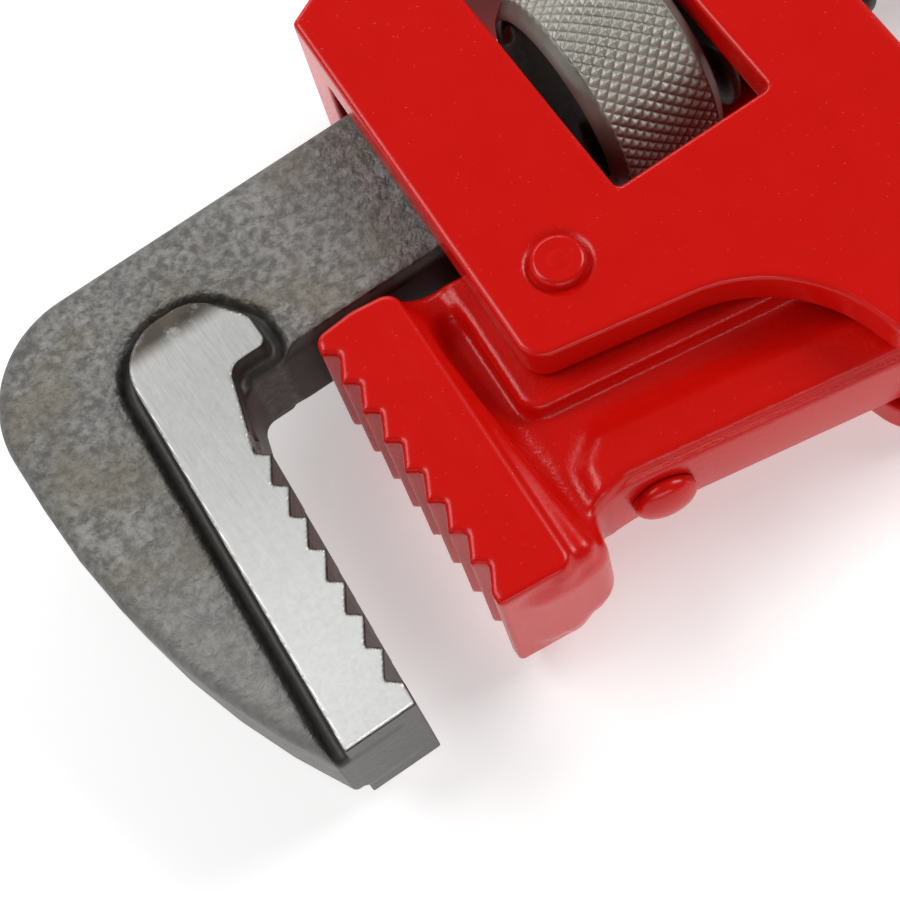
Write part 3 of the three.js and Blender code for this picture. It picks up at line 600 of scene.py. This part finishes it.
def hook_plate_outline():
    """Hook and plain shank, as far as the thread."""
    shank_end_u = THREAD_START_U + 2
    behind_teeth = TOOTH_DEPTH + 1
    return outline([
        (HOOK_TOOTH_TOP_U + 0.4, SHANK_BOTTOM_V, 4),
        (shank_end_u, SHANK_BOTTOM_V),
        (shank_end_u, SHANK_TOP_V),
        (HOOK_BACK_U, SHANK_TOP_V, HOOK_SHOULDER_RADIUS),
        (HOOK_BACK_U, HOOK_END_V + 20.8, HOOK_BACK_RADIUS),
        (HOOK_BACK_U + HOOK_NOSE_BACKSET, HOOK_END_V, 0.8),
        (hook_face_u(HOOK_END_V) - behind_teeth, HOOK_END_V),
        (HOOK_TOOTH_TOP_U - behind_teeth, HOOK_FIRST_TOOTH_V + 1),
        (HOOK_TOOTH_TOP_U - 0.3, HOOK_FIRST_TOOTH_V + 3.3),
    ])


def hook_block_outline():
    """Raised tooth block, with its lobe above the throat."""
    top = HOOK_BLOCK_LOBE_V
    lobe_u = HOOK_TOOTH_TOP_U + HOOK_LOBE_REACH
    teeth = tooth_row(HOOK_TOOTH_TOP_U, HOOK_FIRST_TOOTH_V, -1, HOOK_TOOTH_SLOPE, False, 0.0, 0.15)
    return outline([
        (hook_back_u(HOOK_END_V), HOOK_END_V),
        (hook_face_u(HOOK_END_V), HOOK_END_V),
        *teeth[::-1],
        (HOOK_TOOTH_TOP_U - 1.5, HOOK_FIRST_TOOTH_V + 1.2, 0.3),
        (HOOK_TOOTH_TOP_U + 1.6, top - HOOK_THROAT_DROP, 2),
        (lobe_u, top - HOOK_THROAT_DROP, 1.2),
        (lobe_u, top - 6.0, 3),
        (HOOK_TOOTH_TOP_U + 2.4, top - 0.2, 5.5),
        (hook_back_u(top), top, 6.5),
    ])


def thread_radius(u, turn, grow):
    """Radius of the right-hand thread, its crests and roots rounded a little."""
    share = np.mod(turn - (u - THREAD_START_U) / THREAD_PITCH, 1)
    from_crest = np.abs(share - 0.5) * 2
    rise = np.clip((0.8 + 2 * grow / THREAD_PITCH - from_crest) / 0.6, 0, 1)
    return SHANK_HALF_HEIGHT - THREAD_DEPTH + grow + THREAD_DEPTH * rise * rise * (3 - 2 * rise)


def build_hook():
    block_cell = 0.22
    thread_cell = 0.25
    us = spaced(
        (-63.0, 0.4), (-52.0, block_cell), (-29.0, 0.35), (THREAD_START_U, thread_cell), (79.0, thread_cell),
    )
    vs = spaced((HOOK_END_V - 1.0, block_cell), (24.0, 0.35), (SHANK_TOP_V + 1.1, 0.35))
    half = spaced((0.0, 0.5), (5.0, 0.25), (8.8, 0.12), (9.8, 0.12))
    zs = np.concatenate([-half[:0:-1], half])
    (u, v), z = grid(us, vs, zs)
    body = outline_distance(hook_plate_outline(), u, v)[..., None]
    block = outline_distance(hook_block_outline(), u, v)[..., None]

    solid = plate(body, z, SHANK_HALF_THICKNESS, HOOK_EDGE_RADIUS)
    trough = np.hypot(block - GROOVE_OFFSET, np.abs(z) - SHANK_HALF_THICKNESS) - GROOVE_RADIUS
    solid = cut(solid, trough, 0.8)
    solid = joined(solid, plate(block, z, HOOK_BLOCK_HALF_THICKNESS, 0.3), 0.5)

    u3, across = u[..., None], (v - SHANK_CENTRE_V)[..., None]
    turn = np.arctan2(z, across) / (2 * math.pi)
    screw = (np.hypot(across, z) - thread_radius(u3, turn, 0)) * 0.8
    ends = np.maximum(THREAD_START_U - u3, u3 - THREAD_END_U)
    chamfer = (u3 + np.abs(across) - THREAD_END_U - SHANK_HALF_HEIGHT + 1.8) * 0.7
    screw = common(screw, np.abs(z) - THREAD_HALF_FLATS, 0.3)
    screw = np.maximum(np.maximum(screw, ends), chamfer)
    solid = np.minimum(solid, screw)

    places, quads, normals = surface(solid, (us, vs, zs))
    piece = new_piece("hook_jaw_forging", places, quads, JAW_TO_ROW, "hook_jaw", ["hook_jaw"], normals)
    mask_hook(piece, places, normals)
    return piece


def mask_hook(piece, places, normals):
    """Where the hook jaw is ground, or patchy with unground forging oxide at the lobe; where painted shade
    darkens its groove, throat, tooth flanks, rounded edges and the shank in and behind the housing; and a
    painted highlight brightening it towards the hook's end.
    """
    u, v, z = places.T
    high = np.abs(z)
    to_block = outline_distance(hook_block_outline(), u, v)
    to_edge = -outline_distance(hook_plate_outline(), u, v)
    facing_down = -normals[:, 1]

    on_top = step_between(high, HOOK_BLOCK_HALF_THICKNESS - 0.09, HOOK_BLOCK_HALF_THICKNESS - 0.01)
    # painted shade over the shank inside and behind the housing
    in_window = step_between(u, *WINDOW_SHADE_U)
    end_face = step_between(facing_down, 0.8, 0.95) * (v < HOOK_END_V + 0.3)
    machined = step_between(u, THREAD_START_U - 0.4, THREAD_START_U + 0.6) * (1 - in_window)

    in_teeth = (to_block < 0.5) & (v < HOOK_FIRST_TOOTH_V + 2) & (u > hook_face_u(v) - TOOTH_DEPTH - 0.4)
    # painted shade in the groove round the tooth block
    in_groove = step_between(GROOVE_SHADE_WIDTH - to_block, 0.2, 1.4)
    in_groove *= (to_block > -0.4) & (high < HOOK_BLOCK_HALF_THICKNESS - 0.15)
    in_groove *= (u < HOOK_TOOTH_TOP_U - 2) | (v > HOOK_FIRST_TOOTH_V + 4)
    beside_block = step_between(to_block, 0.8, 2.2) * (u > HOOK_TOOTH_TOP_U) * (u < 0) * (v > 3) * (v < 19)
    # painted shade on the shank's downward face, between the tooth block and the thread
    throat = step_between(facing_down, 0.2, 0.6) * beside_block
    on_edge = step_between(2.6 - to_edge, 0.0, 2.6) * (to_block > 0.6) * (u < THREAD_START_U)

    # painted shade on the tooth flanks, below the ground tops
    teeth_shade = 0.75 * in_teeth * (1 - on_top)
    # painted shade along the forging's rounded edges, where they turn from the light
    edge_shade = 0.5 * on_edge * (1 - end_face)
    # all of these marks are painted shade, mixed to a near-black colour in the material
    painted_shade = 0.9 * in_groove
    for shade_mark in (teeth_shade, 0.95 * throat, edge_shade, 0.92 * in_window):
        painted_shade = np.maximum(painted_shade, shade_mark)
    set_mask(piece, "ground", np.maximum(on_top, 0.5 * np.maximum(machined, end_face)))
    # painted highlight: the steel brightened towards the hook's end
    set_mask(piece, "painted_highlight", step_between(-v, -14, 26))
    # painted shade mask
    set_mask(piece, "painted_shade", painted_shade)
    set_mask(piece, "patchy", on_top * step_between(v, *LOBE_SCALE_V))


# ---------- housing ----------

def housing_outline():
    """Cheek's outline, with the arch below the window and the rear lobe beside it."""
    return outline([
        (HOUSING_FRONT_U, HOUSING_FOOT_V, 3.2),
        (ARCH_U - 5, HOUSING_FOOT_V - ARCH_DROP, ARCH_RADIUS),
        (ARCH_U, HOUSING_LOBE_V, 7.5),
        (HOUSING_REAR_U - 1.5, HOUSING_LOBE_V, 9),
        (HOUSING_REAR_U, HOUSING_FOOT_V, 20),
        (HOUSING_REAR_U, HOUSING_TOP_V - 6, 1),
        (HOUSING_REAR_U - 8, HOUSING_TOP_V, 6),
        (HOUSING_FRONT_U + 10.1, HOUSING_TOP_V, 6),
        (HOUSING_FRONT_U + 1.9, HOUSING_TOP_V - 4, 0.8),
    ])


def window_outline():
    low_u, low_v, high_u, high_v = WINDOW
    corners = ((low_u, low_v), (high_u, low_v), (high_u, high_v), (low_u, high_v))
    return outline([(*corner, WINDOW_CORNER_RADIUS) for corner in corners])


def build_housing():
    us = np.arange(HOUSING_FRONT_U - 0.9, HOUSING_REAR_U + 1.0, FINE_CELL)
    vs = np.arange(HOUSING_LOBE_V - 0.9, HOUSING_TOP_V + 1.0, FINE_CELL)
    zs = np.arange(-14.1, 14.2, FINE_CELL)
    (u, v), z = grid(us, vs, zs)
    cheek = outline_distance(housing_outline(), u, v)[..., None]
    window = outline_distance(window_outline(), u, v)[..., None]

    solid = plate(cheek, z, HOUSING_HALF_THICKNESS, HOUSING_EDGE_RADIUS)
    cavity = common(np.abs(z) - CAVITY_HALF_WIDTH, (v - HOUSING_ROOF_V)[..., None] + 0 * z, 1.0)
    solid = cut(solid, cavity, 0.5)
    solid = cut(solid, window + 0 * z, 0.6)
    dish_floor = HOUSING_HALF_THICKNESS - PIVOT_DISH_DEPTH
    dish_side = np.hypot(u, v)[..., None] - PIVOT_HEAD_RADIUS - PIVOT_DISH_GAP
    dish = common(dish_side, dish_floor - np.abs(z), 0.4)
    solid = cut(solid, dish, 0.9)
    places, quads, normals = surface(solid, (us, vs, zs))
    return new_piece("housing_casting", places, quads, JAW_TO_ROW, "housing", ["housing"], normals)


# ---------- adjusting nut ----------

def knurl_height(along, around):
    """Height of the diamond knurl, from two crossing helical grooves."""
    def ridge(phase):
        return 1 - np.abs(np.mod(phase, 1) - 0.5) * 2

    left = ridge((around + along) / KNURL_PITCH)
    right = ridge((around - along) / KNURL_PITCH)
    return KNURL_DEPTH * np.minimum(1, KNURL_CREST_CUT * np.minimum(left, right))


def nut_rows():
    """Rings of the nut's skin, as (place along it, radius, kind): over the outside, back by the bore."""
    face_radius = NUT_RADIUS - NUT_CHAMFER
    face = [(0.0, face_radius - 0.35, "plain"), (0.12, face_radius - 0.1, "plain")]
    face += [(a, face_radius + a * 0.85, "plain") for a in np.linspace(0.3, NUT_CHAMFER, 5)]
    outside = np.linspace(NUT_CHAMFER, NUT_LENGTH - NUT_CHAMFER, 96)[1:-1]
    rows = face + [(a, NUT_RADIUS, "knurl") for a in outside]
    rows += [(NUT_LENGTH - a, radius, kind) for a, radius, kind in face[::-1]]
    rows += [(NUT_LENGTH, NUT_BORE_RADIUS, "plain")]
    rows += [(a, 0.0, "thread") for a in np.linspace(NUT_LENGTH - 0.9, 0.9, 64)]
    rows += [(0.0, NUT_BORE_RADIUS, "plain")]
    return rows


def build_nut():
    columns = 720
    rows = nut_rows()
    turn = np.arange(columns) / columns
    angle = 2 * math.pi * turn
    around_whole = round(2 * math.pi * NUT_RADIUS / KNURL_PITCH) * KNURL_PITCH
    places = []
    for along, radius, kind in rows:
        ring = np.full(columns, radius)
        if kind == "knurl":
            from_end = min(along, NUT_LENGTH - along) - NUT_CHAMFER
            fade = min(1, from_end / KNURL_RUN_OUT)
            sunk = KNURL_DEPTH - knurl_height(along, turn * around_whole)
            ring = radius - 0.25 * (1 - fade) - sunk * (0.3 + 0.7 * fade)
        if kind == "thread":
            ring = thread_radius(NUT_FRONT_U + along, turn, THREAD_CLEARANCE)
        u = np.full(columns, NUT_FRONT_U + along)
        places.append(np.stack([u, SHANK_CENTRE_V + ring * np.cos(angle), ring * np.sin(angle)], 1))
    places = np.concatenate(places)
    count = len(rows)
    j, i = np.meshgrid(np.arange(count), np.arange(columns), indexing="ij")

    def at(row, column):
        return ((row % count) * columns + column % columns).ravel()

    quads = np.stack([at(j, i), at(j, i + 1), at(j + 1, i + 1), at(j + 1, i)], 1)
    piece = new_piece("nut_knurled", places, quads, JAW_TO_ROW, "adjusting_nut", ["adjusting_nut"])
    out = np.hypot(places[:, 1] - SHANK_CENTRE_V, places[:, 2])
    knurled = np.repeat([kind == "knurl" for _, _, kind in rows], columns)
    # painted shade: by depth in the knurl, and a fixed share on the faces, chamfers, bore and thread
    set_mask(piece, "painted_shade", np.where(knurled, (NUT_RADIUS - 0.1 - out) / KNURL_DEPTH, 0.75))
    return piece


# ---------- rivets ----------

def lathe(name, profile, to_row, body, replaced, columns=96):
    """Solid of revolution about the local Z, from (radius, z) points that start and end on the axis."""
    angle = 2 * math.pi * np.arange(columns) / columns
    places = [[0.0, 0.0, profile[0][1]]]
    for radius, z in profile[1:-1]:
        places += [[radius * math.cos(a), radius * math.sin(a), z] for a in angle]
    places.append([0.0, 0.0, profile[-1][1]])
    rings = len(profile) - 2
    last = 1 + rings * columns
    faces = []
    for i in range(columns):
        n = (i + 1) % columns
        faces.append([0, 1 + n, 1 + i])
        for j in range(rings - 1):
            a, b = 1 + j * columns, 1 + (j + 1) * columns
            faces.append([a + i, a + n, b + n, b + i])
        faces.append([last, last - columns + i, last - columns + n])
    mesh = bpy.data.meshes.new(name)
    matrix = np.array(to_row)
    points = np.array(places) @ matrix[:3, :3].T + matrix[:3, 3]
    mesh.from_pydata(points.tolist(), [], faces)
    mesh.polygons.foreach_set("use_smooth", np.ones(len(mesh.polygons), bool))
    mesh.update()
    return placed(name, mesh, body, replaced)


def build_pivot_rivet():
    """Peened pin: a low head with a rounded rim and a shallow ring pressed into it."""
    top = HOUSING_HALF_THICKNESS + PIVOT_HEAD_PROUD
    rim, edge = PIVOT_HEAD_RADIUS, PIVOT_HEAD_EDGE
    upper = [(rim - 0.4, top - 2.4), (rim, top - 1.8)]
    for a in np.radians(np.arange(0, 90, 12)):
        upper.append((rim - edge + edge * math.cos(a), top - edge + edge * math.sin(a)))
    for r in np.arange(rim - edge - 0.1, 0.05, -0.15):
        ring = PIVOT_RING_DEPTH * math.exp(-((r - PIVOT_RING_RADIUS) / 0.4) ** 2)
        upper.append((r, top - ring - 0.08 * (r / rim) ** 2))
    upper.append((0.0, top))
    profile = [(r, -z) for r, z in upper[::-1]] + upper
    return lathe("pivot_rivet_peened", profile, JAW_TO_ROW, "housing", ["pivot_rivet"])


def domed_head(radius, height, base):
    """Profile points of a domed head with a short straight edge, from its rim to its crown."""
    rim = [(radius - 0.25, base), (radius, base + 0.2)]
    angles = np.radians(np.arange(8, 90, 9))
    dome = [(radius * math.cos(a), base + height * (0.28 + 0.72 * math.sin(a))) for a in angles]
    return rim + dome + [(0.0, base + height)]


def build_handle_spring_rivet():
    """Leaning shaft, clenched over the leaf spring, and a domed head on the lower flange."""
    seat_u, seat_v, lean = SPRING_SEAT
    tail = 2 * SEAT_GAP + SPRING_THICKNESS
    length = (seat_v + tail - HANDLE_BOTTOM_Y - HANDLE_RIVET_TIP_GAP) / math.cos(lean)
    clench = HANDLE_RIVET_RADIUS + CLENCH_LIP
    profile = [
        (0.0, 0.0),
        (HANDLE_RIVET_RADIUS, 0.0),
        (HANDLE_RIVET_RADIUS, length),
        (clench, length),
        (clench, length + 0.35),
        (clench - 0.3, length + CLENCH_HEIGHT),
        (0.0, length + CLENCH_HEIGHT),
    ]
    on_seat = Matrix.Translation((seat_u, seat_v, 0)) @ Matrix.Rotation(lean, 4, "Z")
    outward = Matrix.Rotation(-math.pi / 2, 4, "X")
    shaft_place = JAW_TO_ROW @ on_seat @ Matrix.Translation((0, tail - length, 0)) @ outward
    shaft = lathe("handle_spring_rivet_shaft", profile, shaft_place, "handle", ["handle_spring_rivet"])

    head_y = HANDLE_BOTTOM_Y - SEAT_GAP + HANDLE_RIVET_SUNK
    head_v = (head_y - HANDLE_RIVET_U * math.sin(SHANK_TILT)) / math.cos(SHANK_TILT)
    head_x = from_jaw(HANDLE_RIVET_U, head_v)[0]
    downward = Matrix.Rotation(math.pi / 2, 4, "X")
    head_place = HANDLE_TO_ROW @ Matrix.Translation((head_x, head_y, 0)) @ downward
    dome = domed_head(HANDLE_RIVET_HEAD_RADIUS, HANDLE_RIVET_HEAD_HEIGHT + HANDLE_RIVET_SUNK, 0.0)
    dome = [(0.0, 0.0), *dome]
    head = lathe("handle_spring_rivet_head", dome, head_place, "handle", ["handle_spring_rivet"])
    return shaft, head


def build_housing_spring_rivet():
    """Straight shaft through the bridge, domed outside and clenched under the leaf spring."""
    top = HOUSING_TOP_V + SEAT_GAP
    bottom = HOUSING_ROOF_V - SPRING_THICKNESS - 2 * SEAT_GAP - CLENCH_HEIGHT
    clench = HOUSING_RIVET_RADIUS + CLENCH_LIP
    profile = [
        (0.0, 0.0),
        (clench - 0.3, 0.0),
        (clench, 0.3),
        (clench, CLENCH_HEIGHT),
        (HOUSING_RIVET_RADIUS, CLENCH_HEIGHT),
        (HOUSING_RIVET_RADIUS, top - bottom),
        *domed_head(HOUSING_RIVET_HEAD_RADIUS, HOUSING_RIVET_HEAD_HEIGHT, top - bottom),
    ]
    outward = Matrix.Rotation(-math.pi / 2, 4, "X")
    place = JAW_TO_ROW @ Matrix.Translation((HOUSING_RIVET_U, bottom, 0)) @ outward
    return lathe("housing_spring_rivet_round", profile, place, "housing", ["housing_spring_rivet"])


# ---------- materials ----------

class Material:
    """Node material with short ways to add noises, ramps, mixes and bumps in millimetres."""

    def __init__(self, name):
        self.made = bpy.data.materials.new(name)
        self.made.use_nodes = True
        self.nodes = self.made.node_tree.nodes
        self.links = self.made.node_tree.links
        self.shader = self.nodes["Principled BSDF"]
        place = self.nodes.new("ShaderNodeTexCoord")
        self.place = place.outputs["Object"]

    def link(self, value, socket):
        if isinstance(value, bpy.types.NodeSocket):
            self.links.new(value, socket)
        else:
            socket.default_value = value

    def set(self, **values):
        for name, value in values.items():
            self.link(value, self.shader.inputs[name.replace("_", " ")])

    def mapped(self, turn=0.0, stretch=(1, 1, 1)):
        """Object coordinates turned about Z, then scaled."""
        node = self.nodes.new("ShaderNodeMapping")
        turner = self.nodes.new("ShaderNodeMapping")
        turner.inputs["Rotation"].default_value = (0, 0, turn)
        self.link(self.place, turner.inputs["Vector"])
        self.link(turner.outputs["Vector"], node.inputs["Vector"])
        node.inputs["Scale"].default_value = stretch
        return node.outputs["Vector"]

    def noise(self, size, detail=2.0, roughness=0.5, place=None, distortion=0.0):
        """Noise with features about `size` millimetres across."""
        node = self.nodes.new("ShaderNodeTexNoise")
        self.link(place or self.place, node.inputs["Vector"])
        node.inputs["Scale"].default_value = 1 / (size * MM)
        node.inputs["Detail"].default_value = detail
        node.inputs["Roughness"].default_value = roughness
        node.inputs["Distortion"].default_value = distortion
        return node.outputs["Fac"]

    def cells(self, size):
        """Distance to the nearest of points about `size` millimetres apart."""
        node = self.nodes.new("ShaderNodeTexVoronoi")
        self.link(self.place, node.inputs["Vector"])
        node.inputs["Scale"].default_value = 1 / (size * MM)
        return node.outputs["Distance"]

    def ramp(self, value, low, high, start=0.0, end=1.0):
        """Value from low to high stretched smoothly onto start to end."""
        node = self.nodes.new("ShaderNodeMapRange")
        node.interpolation_type = "SMOOTHSTEP"
        self.link(value, node.inputs["Value"])
        for name, number in (("From Min", low), ("From Max", high), ("To Min", start), ("To Max", end)):
            self.link(number, node.inputs[name])
        return node.outputs["Result"]

    def math(self, operation, a, b=0.0):
        node = self.nodes.new("ShaderNodeMath")
        node.operation = operation
        self.link(a, node.inputs[0])
        self.link(b, node.inputs[1])
        return node.outputs["Value"]

    def mix(self, share, a, b):
        """Colour a turning into colour b."""
        node = self.nodes.new("ShaderNodeMix")
        node.data_type = "RGBA"
        self.link(share, node.inputs["Factor"])
        for socket, color in ((node.inputs["A"], a), (node.inputs["B"], b)):
            self.link((*color, 1) if isinstance(color, tuple) else color, socket)
        return node.outputs["Result"]

    def attribute(self, name):
        node = self.nodes.new("ShaderNodeAttribute")
        node.attribute_name = name
        return node.outputs["Fac"]

    def bump(self, height, depth, strength=1.0):
        """Bump of a height from 0 to 1, `depth` millimetres deep, over any bump made before."""
        node = self.nodes.new("ShaderNodeBump")
        node.inputs["Strength"].default_value = strength
        node.inputs["Distance"].default_value = depth * MM
        self.link(height, node.inputs["Height"])
        if self.shader.inputs["Normal"].is_linked:
            self.link(self.shader.inputs["Normal"].links[0].from_socket, node.inputs["Normal"])
        self.link(node.outputs["Normal"], self.shader.inputs["Normal"])


def red_paint():
    """Glossy red enamel: faint orange peel, dust nibs, and rough casting showing through in hollows."""
    m = Material("red_enamel")
    rough_cast = m.attribute("cast")
    base = m.mix(m.noise(6, 3), (0.575, 0.0036, 0.0014), (0.62, 0.0046, 0.0020))
    nibs = m.ramp(m.cells(1.1), 0.14, 0.04)
    base = m.mix(m.math("MULTIPLY", nibs, 0.12), base, (0.70, 0.05, 0.03))
    m.set(Base_Color=base, Roughness=m.ramp(m.noise(3, 3), 0.3, 0.7, 0.235, 0.255), IOR=1.38)
    m.bump(m.noise(0.9, 2), 0.018, 0.4)
    m.bump(m.math("MULTIPLY", m.noise(0.6, 3, 0.6), rough_cast), 0.10, 0.7)
    m.bump(nibs, 0.05, 0.4)
    return m.made


def jaw_steel():
    """Blasted forging, flecked and faintly rusty; its tooth block is ground bright; painted shade darkens
    its groove, throat, tooth flanks, edges and housed shank, and a painted highlight brightens it towards
    the hook's end.
    """
    m = Material("jaw_steel")
    ground, painted_shade = m.attribute("ground"), m.attribute("painted_shade")
    patchy, painted_highlight = m.attribute("patchy"), m.attribute("painted_highlight")
    wrinkles = m.noise(1.2, 5, 0.6, distortion=0.4)
    grit = m.noise(0.45, 4, 0.65)
    flecks = m.ramp(m.noise(1.1, 5, 0.65), 0.34, 0.66)
    forged = m.mix(flecks, (0.145, 0.141, 0.133), (0.350, 0.343, 0.328))
    forged = m.mix(m.ramp(m.noise(9, 4, 0.6), 0.46, 0.66, 0, 0.5), forged, (0.20, 0.172, 0.11))
    forged = m.mix(m.ramp(m.noise(14, 3), 0.3, 0.7, 0, 0.3), forged, (0.10, 0.098, 0.094))
    # painted highlight on the forging, lighter towards the hook's end
    forged = m.mix(m.math("MULTIPLY", painted_highlight, 0.5), forged, (0.38, 0.375, 0.36))
    lines = m.noise(0.3, 4, 0.65, m.mapped(-SHANK_TILT, (1, 0.06, 1)))
    bright = m.mix(lines, (0.44, 0.44, 0.43), (0.74, 0.74, 0.725))
    # painted highlight on the ground face, lighter towards the hook's end
    bright = m.mix(m.math("MULTIPLY", painted_highlight, 0.8), bright, (0.97, 0.97, 0.95))
    # near-black colour that the painted shade mask mixes in
    shade_colour = m.mix(grit, (0.014, 0.012, 0.010), (0.045, 0.039, 0.034))
    rusty = m.mix(m.noise(2.5, 3), (0.020, 0.017, 0.014), (0.14, 0.11, 0.07))
    patches = m.math("MULTIPLY", patchy, m.ramp(m.noise(2.6, 5, 0.65), 0.28, 0.48, 0.35, 0.95))
    base = m.mix(painted_shade, m.mix(patches, m.mix(ground, forged, bright), rusty), shade_colour)
    m.set(Base_Color=base, Metallic=0.45)
    rough = m.ramp(ground, 0, 1, 0.50, 0.36)
    m.set(Roughness=m.math("ADD", rough, m.ramp(grit, 0.2, 0.8, -0.05, 0.06)))
    raw = m.math("SUBTRACT", 1.0, m.math("MAXIMUM", ground, painted_shade))
    m.bump(m.math("MULTIPLY", wrinkles, raw), 0.8, 1.0)
    m.bump(m.math("MULTIPLY", grit, raw), 0.22, 0.8)
    m.bump(m.math("MULTIPLY", lines, ground), 0.006, 0.3)
    return m.made


def nut_steel():
    """Machined steel; painted shade darkens the knurl's grooves, leaving its points bright, and its faces,
    chamfers and bore.
    """
    m = Material("nut_steel")
    hollow = m.attribute("painted_shade")
    smear = m.noise(4, 4, 0.6)
    base = m.mix(smear, (0.29, 0.275, 0.235), (0.47, 0.455, 0.405))
    # painted shade over the knurl's grooves, faces, chamfers and bore
    base = m.mix(m.ramp(hollow, 0.3, 1.0, 0, 0.9), base, (0.05, 0.043, 0.036))
    m.set(Base_Color=base, Metallic=0.4, Roughness=m.ramp(smear, 0.3, 0.7, 0.34, 0.5))
    m.bump(m.noise(0.5, 4, 0.6), 0.04, 0.5)
    return m.made


def spring_steel():
    """Blued spring steel with faint rolling lines."""
    m = Material("spring_steel")
    lines = m.noise(0.5, 4, 0.6, m.mapped(-SHANK_TILT, (0.08, 1, 1)))
    m.set(Base_Color=m.mix(lines, (0.030, 0.033, 0.042), (0.075, 0.078, 0.088)), Metallic=0.9)
    m.set(Roughness=m.ramp(lines, 0.2, 0.8, 0.28, 0.42))
    m.bump(lines, 0.015, 0.4)
    return m.made


def dress(piece, look):
    """Give a piece its material, in a single slot."""
    piece.data.materials.clear()
    piece.data.materials.append(look)


# ---------- studio ----------

def make_floor():
    bpy.ops.mesh.primitive_plane_add(size=FLOOR_SIZE, location=(0, 0, -FLOOR_GAP))
    floor = bpy.context.object
    floor.name = "floor"
    m = Material("floor_white")
    m.set(Base_Color=(0.82, 0.82, 0.82, 1), Roughness=0.7, Emission_Color=(1, 1, 1, 1))
    m.set(Emission_Strength=FLOOR_GLOW, Specular_IOR_Level=0.2)
    floor.data.materials.append(m.made)


def area_light(name, place, target, size, power):
    data = bpy.data.lights.new(name, "AREA")
    data.shape = "RECTANGLE"
    data.size, data.size_y = size
    data.energy = power
    lamp = bpy.data.objects.new(name, data)
    lamp.location = place
    lamp.rotation_mode = "QUATERNION"
    lamp.rotation_quaternion = (Vector(target) - Vector(place)).to_track_quat("-Z", "Y")
    bpy.context.scene.collection.objects.link(lamp)


def make_lights():
    """Soft boxes high on both sides, low strips for the edges, and a dim room that is seen as white."""
    scene = bpy.context.scene
    scene.view_settings.view_transform = "Standard"
    world = bpy.data.worlds.new("studio")
    scene.world = world
    world.use_nodes = True
    nodes, links = world.node_tree.nodes, world.node_tree.links
    room = nodes["Background"]
    room.inputs["Color"].default_value = (1, 1, 1, 1)
    room.inputs["Strength"].default_value = ROOM_LIGHT
    seen = nodes.new("ShaderNodeBackground")
    seen.inputs["Strength"].default_value = 1.0
    mixer = nodes.new("ShaderNodeMixShader")
    path = nodes.new("ShaderNodeLightPath")
    links.new(path.outputs["Is Camera Ray"], mixer.inputs["Fac"])
    links.new(room.outputs["Background"], mixer.inputs[1])
    links.new(seen.outputs["Background"], mixer.inputs[2])
    links.new(mixer.outputs["Shader"], nodes["World Output"].inputs["Surface"])
    for name, offset, size, power in SOFT_BOXES:
        area_light(name, PIVOT + Vector(offset), PIVOT, size, power)


def make_camera():
    """Camera above the jaws, leaning towards the heel's end, with the jaws at the lower left."""
    data = bpy.data.cameras.new("camera")
    data.lens = LENS_MM
    data.sensor_width = SENSOR_MM
    data.clip_start = NEAREST_SEEN
    camera = bpy.data.objects.new("camera", data)
    place = JAW_TO_ROW @ Vector(CAMERA_PLACE)
    back = (place - JAW_TO_ROW @ Vector(CAMERA_TARGET)).normalized()
    right = (JAW_TO_ROW.to_3x3() @ Vector(CAMERA_UP)).cross(back).normalized()
    facing = Matrix((right, back.cross(right), back)).transposed().to_4x4()
    camera.matrix_world = Matrix.Translation(place) @ facing
    bpy.context.scene.collection.objects.link(camera)
    bpy.context.scene.camera = camera


# ---------- the scene ----------

make_camera()
make_floor()
make_lights()

PAINT = red_paint()
dress(build_handle(), PAINT)
dress(build_housing(), PAINT)
dress(build_pivot_rivet(), PAINT)
dress(build_hook(), jaw_steel())
dress(build_nut(), nut_steel())
for rivet in (*build_handle_spring_rivet(), build_housing_spring_rivet()):
    dress(rivet, PAINT)
SPRING = spring_steel()
for node in ("handle_leaf_spring", "housing_leaf_spring"):
    dress(frame["nodes"][node], SPRING)
